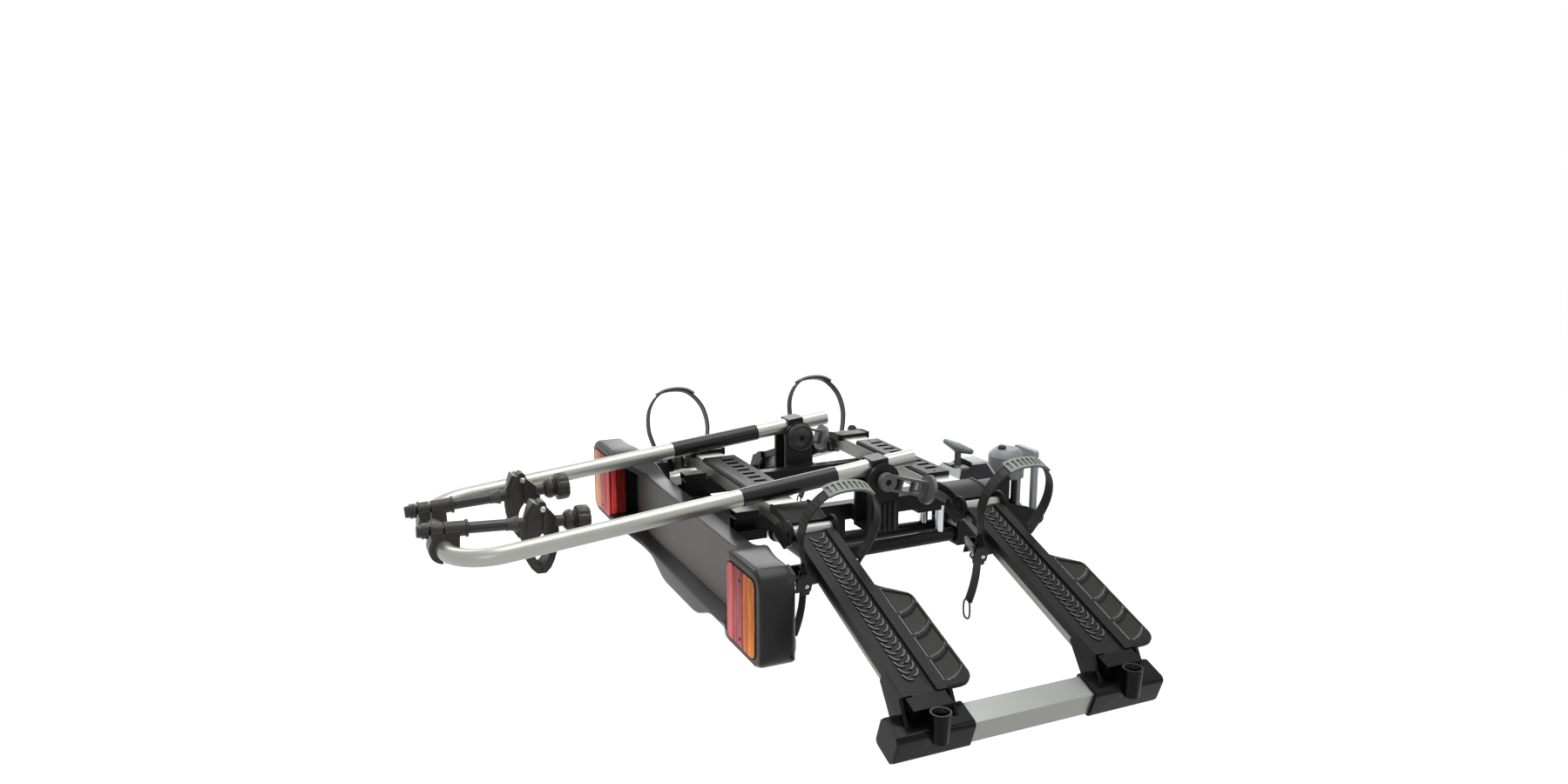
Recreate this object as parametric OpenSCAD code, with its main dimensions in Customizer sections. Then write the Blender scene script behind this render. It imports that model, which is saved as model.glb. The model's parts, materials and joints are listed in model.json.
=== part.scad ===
// Towing ball rack for two bicycles, with folding wheel trays and a folding mast.
// Origin: centre of the tow ball. +X is to the right seen from behind the car,
// +Y points to the car and +Z is up. All lengths are in millimetres.

/* [Layout] */
// Tow ball centre back to the centre line of the front wheel tray
ball_to_tray = 260; // [250:5:290]
// Spacing of the two wheel trays
tray_pitch = 340; // [320:5:380]
// Rear wheel tray centre line back to the number panel
board_gap = 115; // [105:5:130]
// Height of the top of the centre rails above the ball centre
rail_top = 40; // [34:1:46]
// Half distance between the two fore and aft bars
bar_x = 130; // [124:1:134]
// Sideways place of the bend in the centre rails
bend_x = 237; // [225:1:245]
// Sideways place of the fold pins of the tray arms
hinge_x = 285; // [275:1:295]
// Slope of the tray arms below level, in degrees
arm_droop = 20; // [8:1:24]

/* [Rails and trays] */
// Width of the rails under the trays
rail_w = 54; // [46:1:58]
// Height of the rails
rail_h = 30; // [26:1:34]
// Wall of the rails and bars
rail_wall = 2.5; // [2:0.1:3.5]
// Length of a folding tray rail from its fold pin
arm_len = 398; // [370:1:430]
// Width of a wheel tray
tray_w = 76; // [72:1:84]
// Thickness of a tray at its rims
tray_t = 9; // [8:0.5:11]
// Reach of a side wing beyond the tray's centre line
wing_reach = 88; // [78:1:100]
// Number of chevron ribs along a tray
rib_count = 25; // [10:1:30]

/* [Mast] */
// Half distance between the two mast legs
leg_x = 180; // [174:1:188]
// Outer radius of the mast tube
mast_r = 15; // [14:0.5:16]
// Wall of the mast tube
mast_wall = 2; // [1.5:0.1:3]
// Mast pivot to the centre line of the arch
mast_len = 760; // [700:1:800]
// Rear tray centre line forward to the mast pivot
mast_setback = 185; // [178:1:195]
// Height of the mast pivot above the ball centre
mast_z = 67; // [64:1:72]
// Droop of the folded mast towards the rear, in degrees
mast_droop = 6; // [4:0.5:7]
// Centre line radius of the bends at the arch
arch_r = 87; // [80:1:87]
// Place of the right bicycle clamp along the arch
clamp_right_x = 75; // [66:1:75]
// Place of the left bicycle clamp along the arch
clamp_left_x = -56; // [-72:1:-50]

/* [Light board] */
// Half width of the light board over its lamp pods
board_half = 470; // [450:1:500]
// Inner edge of the lamps from the middle
lamp_in = 345; // [330:1:355]
// Width of a lamp lens
lens_w = 95; // [85:1:105]
// Height of a lamp lens
lens_h = 118; // [100:1:122]
// How far the lamps stand behind the number panel
lamp_depth = 56; // [45:1:65]
// Height of the number panel
panel_h = 118; // [112:1:122]

/* [Coupling] */
// Radius of the tow ball
ball_r = 25; // [25:0.5:26]
// Outer radius of the ball cup
cup_r = 38; // [36:0.5:42]
// Radius of the two chassis tubes
vee_r = 14; // [12:0.5:16]
// Height of the chassis tubes below the ball centre
chassis_drop = 125; // [118:1:135]

/* [Hidden] */
$fn = 48;
// One overrun for all cuts
over = 1;
// Gap where a moving shaft turns in a hole
run_gap = 0.05;
// Gap between faces that pass each other
pass_gap = 1;
tray_front = -ball_to_tray;
tray_rear = tray_front - tray_pitch;
tray_ys = [tray_rear, tray_front];
sides = [1, -1];

// Rails: shape of the bend and the frame of a tray arm
bend_r = 120;
bend_steps = 5;
tangent = bend_r * tan(arm_droop / 2);
hinge_z = rail_top - (hinge_x - bend_x) * tan(arm_droop);
rail_bottom = rail_top - rail_h;

// Fold hinge
fold_pin_r = 5;
fold_head_r = 8;
fold_head_t = 2.5;
cheek_r = 22;
cheek_t = 6;
cheek_in = tray_w / 2 + pass_gap;
cheek_tail = 40;
bracket_floor_t = 4;
rail_stop = 18;
knuckle_r = 11;
arm_start = 13;

// Fixed inner trays
inner_start = 200;
inner_stop = 16;
skirt_drop = 6;

// Slotted covers on the centre rails
cover_half = 142;
cover_t = 8;
cover_rear_w = 68;
cover_front_w = 52;
slot_pitch = 27;
slot_w = 12;
slot_l = 26;
slot_deep = 5;
slot_count = 9;
cover_hole_r = 6;

// Tray moulding
tray_start = 14;
tray_floor_t = 4.5;
channel_half = 21;
rib_t = 2.6;
rib_rise = 2;
rib_half = 15;
rib_first = 34;
rib_last = 376;
tray_hole_r = 4;
tray_hole_us = [118, 330];
wing_from = 158;
wing_to = 396;
wing_slant = 38;
wing_corner = 24;
wing_t = 6;
wing_rim = 7;
pocket_count = 4;
pocket_deep = 2;
pocket_rib = 6;

// End blocks, end tube and ramp sockets
tube_side = 40;
tube_wall = 2;
tube_u = 424;
tube_w = -42;
block_wall = 5;
block_half = 63;
block_round = 8;
end_cap_t = 4;
socket_from = 372;
socket_half = 33;
socket_rise = 7;
ear_from = 346;
ear_t = 6;
ear_reach = 430;
funnel_r = 16;
funnel_base_r = 12;
funnel_bore_r = 9;
funnel_mouth_r = 13;
funnel_mouth_deep = 8;
funnel_h = 46;
funnel_floor = 12;
funnel_u = 440;
funnel_w = 14;

// Wheel straps, in the plane square to the tray
strap_u = 85;
strap_w = 20;
strap_t = 2.6;
hoop_half = 68;
hoop_h = 146;
hoop_shares = [[-0.70, -0.20], [-0.70, -0.02], [-0.86, 0.22], [-0.96, 0.46], [-0.86, 0.74],
    [-0.50, 0.95], [0, 1.0], [0.50, 0.95], [0.88, 0.74], [1.0, 0.46], [0.88, 0.18],
    [0.70, -0.02], [0.67, -0.17]];
hoop_steps = 4;
tail_len = 92;
tail_sway = 16;
tail_steps = 6;
tail_loop = 30;
pad_w = 28;
pad_t = 4.5;
pad_first = 20;
pad_last = 29;
anchor_r = 9;
anchor_t = 4;

// Ratchet buckle of a strap
buckle_len = 42;
buckle_w = 28;
buckle_deep = 14;
buckle_cheek = 3;
buckle_w0 = -52;
lever_pin_r = 2.5;
lever_len = 28;
lever_lean = 25;
lever_t = 5;
lever_pin_w = -28;

// Fore and aft bars
bar_w = 24;
bar_h = 31;
bar_front = tray_front + rail_w / 2 + 6;
board_front = tray_rear - board_gap + 35;

// Deck behind the rear rail and the boxes that carry the light board
deck_half = 166;
deck_t = 4;
deck_rim = 14;
box_w = 30;
box_h = 14;
box_wall = 2;

// Light board
board_y = tray_rear - board_gap;
board_base_z = -133;
board_top_z = -9;
pod_top_z = 31;
pod_low_z = -128;
pod_round = 30;
pod_front = 4;
shoulder = 92;
shoulder_mid = 0.5;
shoulder_rise = 0.36;
roof_t = 12;
board_end = 12;
sill_y = 24;
sill_drop = 16;
sill_in = 215;
bump_half = 178;
bump_base = 84;
bump_drop = 28;
lens_round = 16;
lens_top_z = 8;
lens_deep = 34;
lens_wall = 3;
lens_gap = 0.4;
panel_half = 322;
panel_t = 3;
panel_low_z = -130;
board_lip = 8;
board_wall = 4;
base_wall = 5;

// Mast brackets and release levers
foot_off = 22;
mast_y = tray_rear + mast_setback;
foot_half_w = 20;
foot_len = 34;
post_half = 31;
post_t = 8;
post_top = 100;
post_low = -28;
post_gap = 1;
pivot_r = 6;
post_floor_t = 8;
flute_r = 4;
flute_count = 5;
flute_top = 25;
boss_r = 29;
boss_t = 13;
boss_hex_r = 4.5;
hub_r = 17;
lever_reach = 84;
lever_fall = 16;
lever_bar = 5;
lever_gap_h = 20;
lever_wide = 12;
rung_shares = [0.34, 0.66, 0.96];
disc_r = 27;
disc_t = 8;
tail = 77;
sleeve_from = 84;
sleeve_to = 268;
sleeve_wall = 1.2;
plug_t = 4;

// Bicycle clamps
clamp_tilt = 9;
clamp_tilt_left = 3;
band_r = 25;
band_w = 34;
band_split = 3;
band_back = 21;
band_fore = 40;
band_flange = 4;
rod_r = 7.5;
rod_rise = 29;
rod_back = 23;
rod_len = 130;
band_top = 42;
rod_cap_r = 13;
rod_cap_tip_r = 10;
rod_cap_len = 20;
head_from = 128;
collar_r = 10;
collar_len = 14;
jaw_w = 66;
jaw_h = 129;
jaw_low = 86;
jaw_t = 36;
jaw_shares = [[0, -0.69], [-0.12, -0.665], [-0.26, -0.60], [-0.37, -0.50], [-0.45, -0.37],
    [-0.49, -0.24], [-0.5, -0.13], [-0.48, -0.02], [-0.43, 0.09], [-0.35, 0.20], [-0.25, 0.305],
    [-0.15, 0.28], [0, 0.255], [0.08, 0.24], [0.22, 0.17], [0.36, 0.09], [0.44, 0.02],
    [0.48, -0.06], [0.5, -0.16], [0.49, -0.27], [0.44, -0.40], [0.36, -0.51], [0.26, -0.60],
    [0.12, -0.665]];
jaw_split = 0.6;
jaw_pin_r = 3;
jaw_knuckle_r = 7.5;
jaw_pin_drop = 11;
grip_half = 13;
grip_top = -15;
grip_low = -73;
neck_r = 10;
neck_len = 14;
knob_r = 27;
lobe_r = 7;
lobe_count = 6;
knob_t = 24;
knob_cone_t = 20;
bolt_r = 5;

// Towing chassis
pivot_y = tray_rear + 125;
cross_r = 17;
cross_half = 118;
stub_r = 10;
stub_len = 24;
vee_back = 40;
vee_front = 28;
vee_end = -62;
vee_wall = 2.5;
ear_plate_t = 8;
ear_plate_r = 21;
plate_in = 46;
plate_t = 5;
plate_back = 150;
plate_floor_t = 6;
plate_top_z = -26;
plate_nose = 49;
plate_front = 25;
nose_r = 14;
leg_at = 37;
leg_r = 7;
leg_y = -4;
leg_end_z = -84;
side_rise = 14;
ball_gap = 0.3;
cup_low = 26;
cup_top = 34;
dome_r = 30;
jaw_cut_y = 9;
guide_r = 2.5;
guide_x = 31.5;
guide_len = 10;
lock_r = 9;
lock_deep = 10;
lock_rise = 8;
lock_y = -12;
key_w = 2;
key_l = 9;
bail_y = 52;
bail_z = -112;
bail_pin_r = 6;
bail_in = 24;
bail_t = 11;
bail_deep = 12;
bail_h = 142;
bail_bar_h = 22;
bail_eye_r = 13;
hood_back = 160;
hood_front = 50;
hood_half = 42;
hood_r = 10;
hood_crown = 20;
recess_half = 17;
recess_r = 20;
recess_deep = 16;
handle_y = -122;
stem_r = 7;
stem_low = -20;
handle_z = 48;
handle_half = 47;
handle_mid_r = 11;
handle_tip_r = 6;
tongue_half = 34;
tongue_end = -163;
tongue_t = 6;
post_r = 9;
post_y = -182;

// Point of the sloping part of a rail, from u along the arm and w square to it
function arm_point(u, w) = [hinge_x + u * cos(arm_droop) + w * sin(arm_droop),
    hinge_z - u * sin(arm_droop) + w * cos(arm_droop)];
function bend_arc(w) = [for (i = [0 : bend_steps]) let (t = arm_droop * i / bend_steps)
    [bend_x - tangent + (bend_r + w) * sin(t), rail_top - bend_r + (bend_r + w) * cos(t)]];
function half_line(w, u) = concat(bend_arc(w), [arm_point(u, w)]);
function reversed(p) = [for (i = [len(p) - 1 : -1 : 0]) p[i]];
function other_side(p) = [for (q = reversed(p)) [-q[0], q[1]]];
function full_line(w, u) = concat(other_side(half_line(w, u)), half_line(w, u));
function full_band(high, low, u) = concat(full_line(high, u), reversed(full_line(low, u)));
function side_band(high, low, x, u) = concat([[x, rail_top + high]], half_line(high, u),
    reversed(concat([[x, rail_top + low]], half_line(low, u))));

// Smooth line through hand-placed shares of a hoop
function between(a, b, c, d, t) = 0.5 * (2 * b + (c - a) * t + (2 * a - 5 * b + 4 * c - d) * t * t
    + (3 * b - a - 3 * c + d) * t * t * t);
function hoop_share(i) = hoop_shares[max(0, min(len(hoop_shares) - 1, i))];
function hoop_line() = [for (i = [0 : len(hoop_shares) - 2]) for (k = [0 : hoop_steps - 1])
    let (s = between(hoop_share(i - 1), hoop_share(i), hoop_share(i + 1), hoop_share(i + 2),
        k / hoop_steps)) [s[0] * hoop_half, s[1] * hoop_h]];
function along(p, i) = let (a = p[max(0, i - 1)], b = p[min(len(p) - 1, i + 1)], d = b - a)
    d / norm(d);
function shifted(p, side) = [for (i = [0 : len(p) - 1]) let (d = along(p, i))
    p[i] + side * [-d[1], d[0]]];
function ribbon(p, in, out) = concat(shifted(p, out), reversed(shifted(p, in)));
function part_of(p, a, b) = [for (i = [a : b]) p[i]];

// Extrudes a drawing in X and Z along Y, centred on y
module along_y(width) {
    rotate([90, 0, 0]) linear_extrude(width, center = true) children();
}
// Extrudes a drawing in Y and Z along X, centred on x
module along_x(width) {
    rotate([90, 0, 90]) linear_extrude(width, center = true) children();
}
module round_rect(w, h, r) {
    square([w - 2 * r, h], center = true);
    square([w, h - 2 * r], center = true);
    for (x = [-1, 1], y = [-1, 1]) translate([x * (w / 2 - r), y * (h / 2 - r)]) circle(r);
}
module rod_x(r, length) {
    rotate([0, 90, 0]) cylinder(r = r, h = length, center = true);
}
module rod_y(r, length) {
    rotate([-90, 0, 0]) cylinder(r = r, h = length);
}
module block(x0, x1, y0, y1, z0, z1) {
    translate([x0, y0, z0]) cube([x1 - x0, y1 - y0, z1 - z0]);
}
module on_side(side) {
    if (side > 0) children();
    else mirror([1, 0, 0]) children();
}
// Frame of a tray arm: X runs out along the arm, Z is square to the tray
module on_arm(side, y) {
    on_side(side) translate([hinge_x, y, hinge_z]) rotate([0, arm_droop, 0]) children();
}

// Chassis

module side_plate() {
    difference() {
        union() {
            polygon([[-plate_back, -chassis_drop - vee_r - plate_floor_t],
                [bail_y - nose_r, -chassis_drop - vee_r - plate_floor_t],
                [bail_y + nose_r, bail_z], [bail_y, bail_z + nose_r],
                [bail_y - 2 * nose_r, leg_end_z], [-plate_front, leg_end_z + nose_r],
                [-plate_front, plate_top_z + side_rise], [-plate_nose, plate_top_z + side_rise],
                [-hood_front, plate_top_z], [-plate_back, plate_top_z]]);
            translate([bail_y, bail_z]) circle(nose_r);
        }
        translate([-plate_back / 2 - cup_r / 2, (plate_top_z - chassis_drop) / 2 + vee_r / 2])
            circle(vee_r + plate_t);
    }
}
module coupling_frame() {
    floor_z = -chassis_drop - vee_r;
    color("dimgray") {
        for (s = sides) {
            translate([s * (plate_in + plate_t / 2), 0, 0]) along_x(plate_t) side_plate();
            translate([s * (bail_in + plate_in + plate_t) / 2, bail_y, bail_z])
                rod_x(bail_pin_r - run_gap, plate_in + plate_t - bail_in);
        }
        block(-plate_in, plate_in, -plate_back, vee_end, floor_z - plate_floor_t, floor_z);
        block(-plate_in, plate_in, -plate_back, vee_end, -chassis_drop + vee_r,
            -chassis_drop + vee_r + plate_t);
        difference() {
            block(-plate_in, plate_in, -plate_nose, -plate_front, -cup_low,
                plate_top_z + side_rise);
            translate([0, 0, -cup_low - over]) cylinder(r = cup_r, h = cup_low + cup_top);
        }
        for (s = sides) {
            translate([s * leg_at, leg_y, leg_end_z])
                cylinder(r = leg_r, h = -cup_low - leg_end_z);
            translate([s * (leg_at + plate_in) / 2, leg_y, leg_end_z - leg_r / 2])
                cube([plate_in - leg_at + leg_r, 3 * leg_r, leg_r], center = true);
        }
    }
}
module vee_tube(r) {
    lean = atan((vee_back - vee_front) / (vee_end - pivot_y));
    run = (vee_end - pivot_y) / cos(lean);
    for (s = sides) translate([s * vee_back, pivot_y, -chassis_drop]) rotate([0, 0, s * lean])
        rod_y(r, run);
}
module chassis_tubes() {
    color("black") difference() {
        vee_tube(vee_r);
        vee_tube(vee_r - vee_wall);
        translate([0, pivot_y, -chassis_drop]) rod_x(cross_r, 2 * cross_half);
    }
}
module tilt_cross_tube() {
    color("black") translate([0, pivot_y, -chassis_drop]) {
        rod_x(cross_r, 2 * cross_half);
        rod_x(stub_r, 2 * (cross_half + stub_len));
    }
}
module cup_body() {
    difference() {
        union() {
            translate([0, 0, -cup_low]) cylinder(r = cup_r, h = cup_low + cup_top - dome_r / 2);
            intersection() {
                sphere(r = sqrt(pow(cup_r, 2) + pow(cup_top - dome_r / 2, 2)), $fn = 64);
                translate([0, 0, -cup_low]) cylinder(r = cup_r, h = cup_low + cup_top);
            }
        }
        sphere(r = ball_r + ball_gap, $fn = 64);
        translate([0, 0, -cup_low - over]) cylinder(r = ball_r + ball_gap, h = cup_low + over);
    }
}
module ball_cup() {
    color("gray") difference() {
        cup_body();
        block(-cup_r - over, cup_r + over, jaw_cut_y, cup_r + over, -cup_low - over,
            cup_top / 2);
        translate([0, lock_y, cup_top - lock_deep]) cylinder(r = lock_r, h = 2 * lock_deep);
    }
    color("gray") for (s = sides) translate([s * guide_x, jaw_cut_y - pass_gap, -guide_len / 2])
        rod_y(guide_r, guide_len + pass_gap);
}
module ball_jaw() {
    color("dimgray") difference() {
        intersection() {
            cup_body();
            block(-cup_r, cup_r, jaw_cut_y + pass_gap, cup_r, -cup_low, cup_top / 2 - pass_gap);
        }
        for (s = sides) translate([s * guide_x, jaw_cut_y, -guide_len / 2])
            rod_y(guide_r + run_gap, guide_len + pass_gap);
    }
}
module clamp_lever() {
    reach = bail_in + bail_t / 2;
    color("slategray") translate([0, bail_y, bail_z]) difference() {
        union() {
            for (s = sides) translate([s * reach, 0, 0]) {
                rod_x(bail_eye_r, bail_t);
                block(-bail_t / 2, bail_t / 2, -bail_deep / 2, bail_deep / 2, 0,
                    bail_h - bail_bar_h);
            }
            translate([0, 0, bail_h - bail_bar_h / 2]) along_y(bail_deep)
                round_rect(2 * reach + bail_t, bail_bar_h, bail_deep / 2);
        }
        rod_x(bail_pin_r, 4 * reach);
    }
}
module lock_barrel() {
    color("silver") translate([0, lock_y, cup_top - lock_deep]) difference() {
        union() {
            cylinder(r = lock_r - run_gap, h = lock_deep + lock_rise / 2);
            translate([0, 0, lock_deep + lock_rise / 2])
                cylinder(r1 = lock_r - run_gap, r2 = lock_r - lock_rise / 4, h = lock_rise / 2);
        }
        translate([0, 0, lock_deep + lock_rise])
            cube([key_w, key_l, lock_rise], center = true);
    }
}
module coupling_hood() {
    color("lightgray") difference() {
        hull() {
            for (s = sides, y = [-hood_back + hood_r, -hood_front - hood_r])
                translate([s * hood_half, y, plate_top_z + hood_r]) {
                    translate([0, 0, -hood_r]) cylinder(r = hood_r, h = hood_r, $fn = 24);
                    sphere(r = hood_r, $fn = 24);
                }
            for (s = sides, y = [-hood_back + 3 * hood_r, -hood_front - 2 * hood_r])
                translate([s * hood_half / 2, y, hood_crown - hood_r])
                    sphere(r = hood_r, $fn = 24);
        }
        translate([0, handle_y, hood_crown - recess_deep]) {
            for (s = sides) translate([s * recess_half, 0, 0]) cylinder(r = recess_r, h = cup_top);
            block(-recess_half, recess_half, -recess_r, recess_r, 0, cup_top);
        }
        translate([0, handle_y, plate_top_z - over])
            cylinder(r = stem_r + pass_gap / 2, h = cup_top);
    }
}
module release_handle() {
    color("gray") translate([0, handle_y, 0]) {
        translate([0, 0, stem_low]) cylinder(r = stem_r, h = handle_z - stem_low - handle_tip_r);
        hull() {
            translate([0, 0, handle_z]) sphere(r = handle_mid_r, $fn = 32);
            for (s = sides) translate([s * handle_half, 0, handle_z + handle_tip_r / 2])
                sphere(r = handle_tip_r, $fn = 24);
        }
    }
}
module rest_posts() {
    lean = (vee_back - vee_front) / (vee_end - pivot_y);
    x = vee_front + lean * (vee_end - post_y);
    color("silver") difference() {
        for (s = sides) translate([s * x, post_y, -chassis_drop])
            cylinder(r = post_r, h = chassis_drop + plate_top_z - 2 * tongue_t);
        vee_tube(vee_r);
    }
}

// Platform

module side_bars() {
    color("black") for (s = sides) translate([s * bar_x, 0, rail_bottom - bar_h / 2])
        difference() {
            block(-bar_w / 2, bar_w / 2, board_front, bar_front, -bar_h / 2, bar_h / 2);
            block(-bar_w / 2 + rail_wall, bar_w / 2 - rail_wall, board_front - over,
                bar_front + over, -bar_h / 2 + rail_wall, bar_h / 2 - rail_wall);
        }
}
module centre_rail(y) {
    color("silver") translate([0, y, 0]) difference() {
        along_y(rail_w) polygon(full_band(0, -rail_h, -rail_stop));
        along_y(rail_w - 2 * rail_wall)
            polygon(full_band(-rail_wall, rail_wall - rail_h, -rail_stop + over));
    }
}
module rail_cover(y, w) {
    lip = w / 2 - slot_l / 2;
    color("dimgray") translate([0, y, rail_top]) difference() {
        block(-cover_half, cover_half, -w / 2, w / 2, 0, cover_t);
        for (i = [0 : slot_count - 1])
            translate([(i - (slot_count - 1) / 2) * slot_pitch, lip / 3, cover_t - slot_deep])
                linear_extrude(slot_deep + over)
                    round_rect(slot_w, slot_l, slot_w / 3);
        for (s = sides) translate([s * (cover_half - 2 * cover_hole_r), 0, -over])
            cylinder(r = cover_hole_r / 2, h = cover_t + 2 * over);
        translate([0, -w / 2, cover_t]) rotate([45, 0, 0])
            cube([2 * cover_half + over, slot_deep, slot_deep], center = true);
    }
}
module inner_trays() {
    skin = (tray_w - rail_w) / 2;
    color("black") for (s = sides, y = tray_ys) on_side(s) translate([0, y, 0]) {
        along_y(tray_w) polygon(side_band(tray_t - rib_rise, 0, inner_start, -inner_stop));
        for (k = sides) translate([0, k * (rail_w + skin) / 2, 0]) along_y(skin)
            polygon(side_band(0, -skirt_drop, inner_start, -inner_stop - skirt_drop));
        for (k = sides) translate([0, k * (tray_w / 2 - skin / 4), 0]) along_y(skin / 2)
            polygon(side_band(tray_t, tray_t - rib_rise, inner_start, -inner_stop));
    }
}
module fold_bracket() {
    side_mid = cheek_in + cheek_t / 2;
    for (k = sides) translate([0, k * side_mid, 0]) {
        rotate([90, 0, 0]) cylinder(r = cheek_r, h = cheek_t, center = true);
        block(-cheek_tail, 0, -cheek_t / 2, cheek_t / 2, -rail_h - bracket_floor_t, -skirt_drop);
    }
    block(-1.6 * rail_stop, -rail_stop - over, -side_mid, side_mid, -rail_h - bracket_floor_t,
        -rail_h);
    rotate([90, 0, 0]) cylinder(r = fold_pin_r, h = 2 * cheek_in + 2 * cheek_t, center = true);
    for (k = sides) translate([0, k * (cheek_in + cheek_t + fold_head_t / 2), 0])
        rotate([90, 0, 0]) cylinder(r = fold_head_r, h = fold_head_t, center = true);
}
module fold_brackets(side) {
    color("black") for (y = tray_ys) on_arm(side, y) fold_bracket();
}
module tilt_ears() {
    color("black") for (s = sides)
        translate([s * bar_x, pivot_y, -chassis_drop]) difference() {
            union() {
                rod_x(ear_plate_r, ear_plate_t);
                block(-ear_plate_t / 2, ear_plate_t / 2, -ear_plate_r, ear_plate_r, 0,
                    chassis_drop + rail_bottom - bar_h);
            }
            rod_x(stub_r + run_gap, 2 * ear_plate_t);
        }
}
module rear_deck() {
    low = rail_bottom - bar_h - deck_t;
    gap = tray_rear - rail_w / 2 - board_front;
    color("black") {
        block(-deck_half, deck_half, board_front, board_front + gap, low, low + deck_t);
        for (s = sides) block(min(s * deck_half, s * (deck_half - deck_t)),
            max(s * deck_half, s * (deck_half - deck_t)), board_front, board_front + gap,
            low + deck_t, low + deck_t + deck_rim);
    }
}
module board_boxes() {
    color("silver") for (s = sides)
        translate([s * (bar_x + (box_w - bar_w) / 2), 0, rail_bottom + box_h / 2]) difference() {
            block(-box_w / 2, box_w / 2, board_front, tray_rear - cover_rear_w / 2 - over,
                -box_h / 2, box_h / 2);
            block(-box_w / 2 + box_wall, box_w / 2 - box_wall, board_front - over, tray_rear,
                -box_h / 2 + box_wall, box_h / 2 - box_wall);
        }
}
module latch_tongue() {
    top = plate_top_z - tongue_t;
    color("dimgray") {
        block(-tongue_half, tongue_half, tray_front - rail_w / 2, tongue_end, top - tongue_t, top);
        block(-bar_x + bar_w / 2, bar_x - bar_w / 2, tray_front - rail_w / 2,
            tray_front + rail_w / 2, top - tongue_t, top);
        for (s = sides) block(min(s * (bar_x - bar_w / 2 - tongue_t), s * (bar_x - bar_w / 2)),
            max(s * (bar_x - bar_w / 2 - tongue_t), s * (bar_x - bar_w / 2)),
            tray_front - rail_w / 2, tray_front + rail_w / 2, top, rail_bottom);
    }
}

// Light board

module board_outline() {
    half = lamp_in - board_end;
    polygon([[-half, board_base_z], [half, board_base_z], [half, board_top_z],
        [-half, board_top_z]]);
}
module pod_outline() {
    translate([(lamp_in + board_half) / 2, (pod_top_z + pod_low_z) / 2])
        round_rect(board_half - lamp_in + over / 2, pod_top_z - pod_low_z, pod_round);
    translate([lamp_in - over / 4, pod_low_z])
        square([pod_round, pod_top_z - pod_low_z]);
}
module lens_outline(grow) {
    translate([lamp_in + lens_w / 2, lens_top_z - lens_h / 2])
        round_rect(lens_w + 2 * grow, lens_h + 2 * grow, lens_round);
}
// Slice of a shoulder: 0 at the board's top, 1 at the top of the pod
module roof_slice(share, rise) {
    x = lamp_in - shoulder * (1 - share);
    rear = board_y - rise * lamp_depth;
    front = board_front + rise * (board_y + pod_front - board_front);
    top = board_top_z + rise * (pod_top_z - board_top_z);
    block(x - over / 2, x + over / 2, rear, front, top - roof_t, top);
}
// Slice of the sill under the number panel, which sweeps back to the pod
module sill_slice(x, reach, low, high) {
    translate([x, 0, 0]) along_x(over) polygon([[board_y, high],
        [board_y - reach, low + sill_drop / 2], [board_y - reach, low],
        [board_y + pod_front, low], [board_y + pod_front, high]]);
}
module light_board() {
    thick = board_front - board_y;
    pod_deep = lamp_depth + pod_front;
    color("dimgray") difference() {
        union() {
            translate([0, board_y + thick / 2, 0]) along_y(thick) board_outline();
            hull() for (s = sides)
                sill_slice(s * sill_in, sill_y, board_base_z - sill_drop, board_base_z + over);
            translate([0, board_y + pod_front - (sill_y + pod_front) / 2, 0])
                along_y(sill_y + pod_front)
                    polygon([[-bump_half, board_base_z - sill_drop + over],
                        [-bump_base, board_base_z - sill_drop - bump_drop],
                        [bump_base, board_base_z - sill_drop - bump_drop],
                        [bump_half, board_base_z - sill_drop + over]]);
            for (s = sides) on_side(s) {
                translate([0, board_y - lamp_depth + pod_deep / 2, 0]) along_y(pod_deep)
                    pod_outline();
                hull() {
                    roof_slice(0, 0);
                    roof_slice(shoulder_mid, shoulder_rise);
                }
                hull() {
                    roof_slice(shoulder_mid, shoulder_rise);
                    roof_slice(1, 1);
                }
                hull() {
                    sill_slice(sill_in, sill_y, board_base_z - sill_drop, board_base_z + over);
                    sill_slice(lamp_in, lamp_depth, pod_low_z, pod_low_z + sill_drop);
                }
                block(lamp_in - board_end - over, lamp_in + over, board_y, board_y + pod_front,
                    board_base_z, board_top_z);
            }
        }
        translate([0, board_y, (panel_low_z + panel_low_z + panel_h) / 2]) rotate([90, 0, 0])
            linear_extrude(2 * panel_t, center = true)
                square([2 * panel_half, panel_h], center = true);
        for (s = sides) on_side(s)
            translate([0, board_y - lamp_depth / 2 - over, 0]) along_y(lamp_depth + 2 * over) {
                lens_outline(lens_gap);
                translate([lamp_in - pod_round, lens_top_z - lens_h - lens_gap])
                    square([2 * pod_round, lens_h + 2 * lens_gap]);
            }
        block(-panel_half, panel_half, board_y + panel_t + board_wall, board_front + over,
            board_base_z + board_lip, board_top_z - board_lip);
    }
}
module number_panel() {
    color("gray") translate([0, board_y - panel_t / 2 + panel_t, panel_low_z + panel_h / 2])
        rotate([90, 0, 0]) linear_extrude(panel_t, center = true)
            round_rect(2 * panel_half - over, panel_h - over, panel_t);
}
module lamp_bases() {
    base_deep = lamp_depth - lens_deep;
    color("black") for (s = sides) on_side(s)
        translate([0, board_y - base_deep / 2, 0]) difference() {
            along_y(base_deep) lens_outline(0);
            translate([0, -base_wall, 0]) along_y(base_deep) lens_outline(-base_wall);
        }
}
module lamp_lens(side) {
    color("firebrick") on_side(side) translate([0, board_y - lamp_depth, 0]) difference() {
        translate([0, lens_deep / 2, 0]) along_y(lens_deep) lens_outline(0);
        translate([0, lens_deep / 2 + lens_wall, 0]) along_y(lens_deep) lens_outline(-lens_wall);
    }
}

// Mast and its brackets

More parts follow.
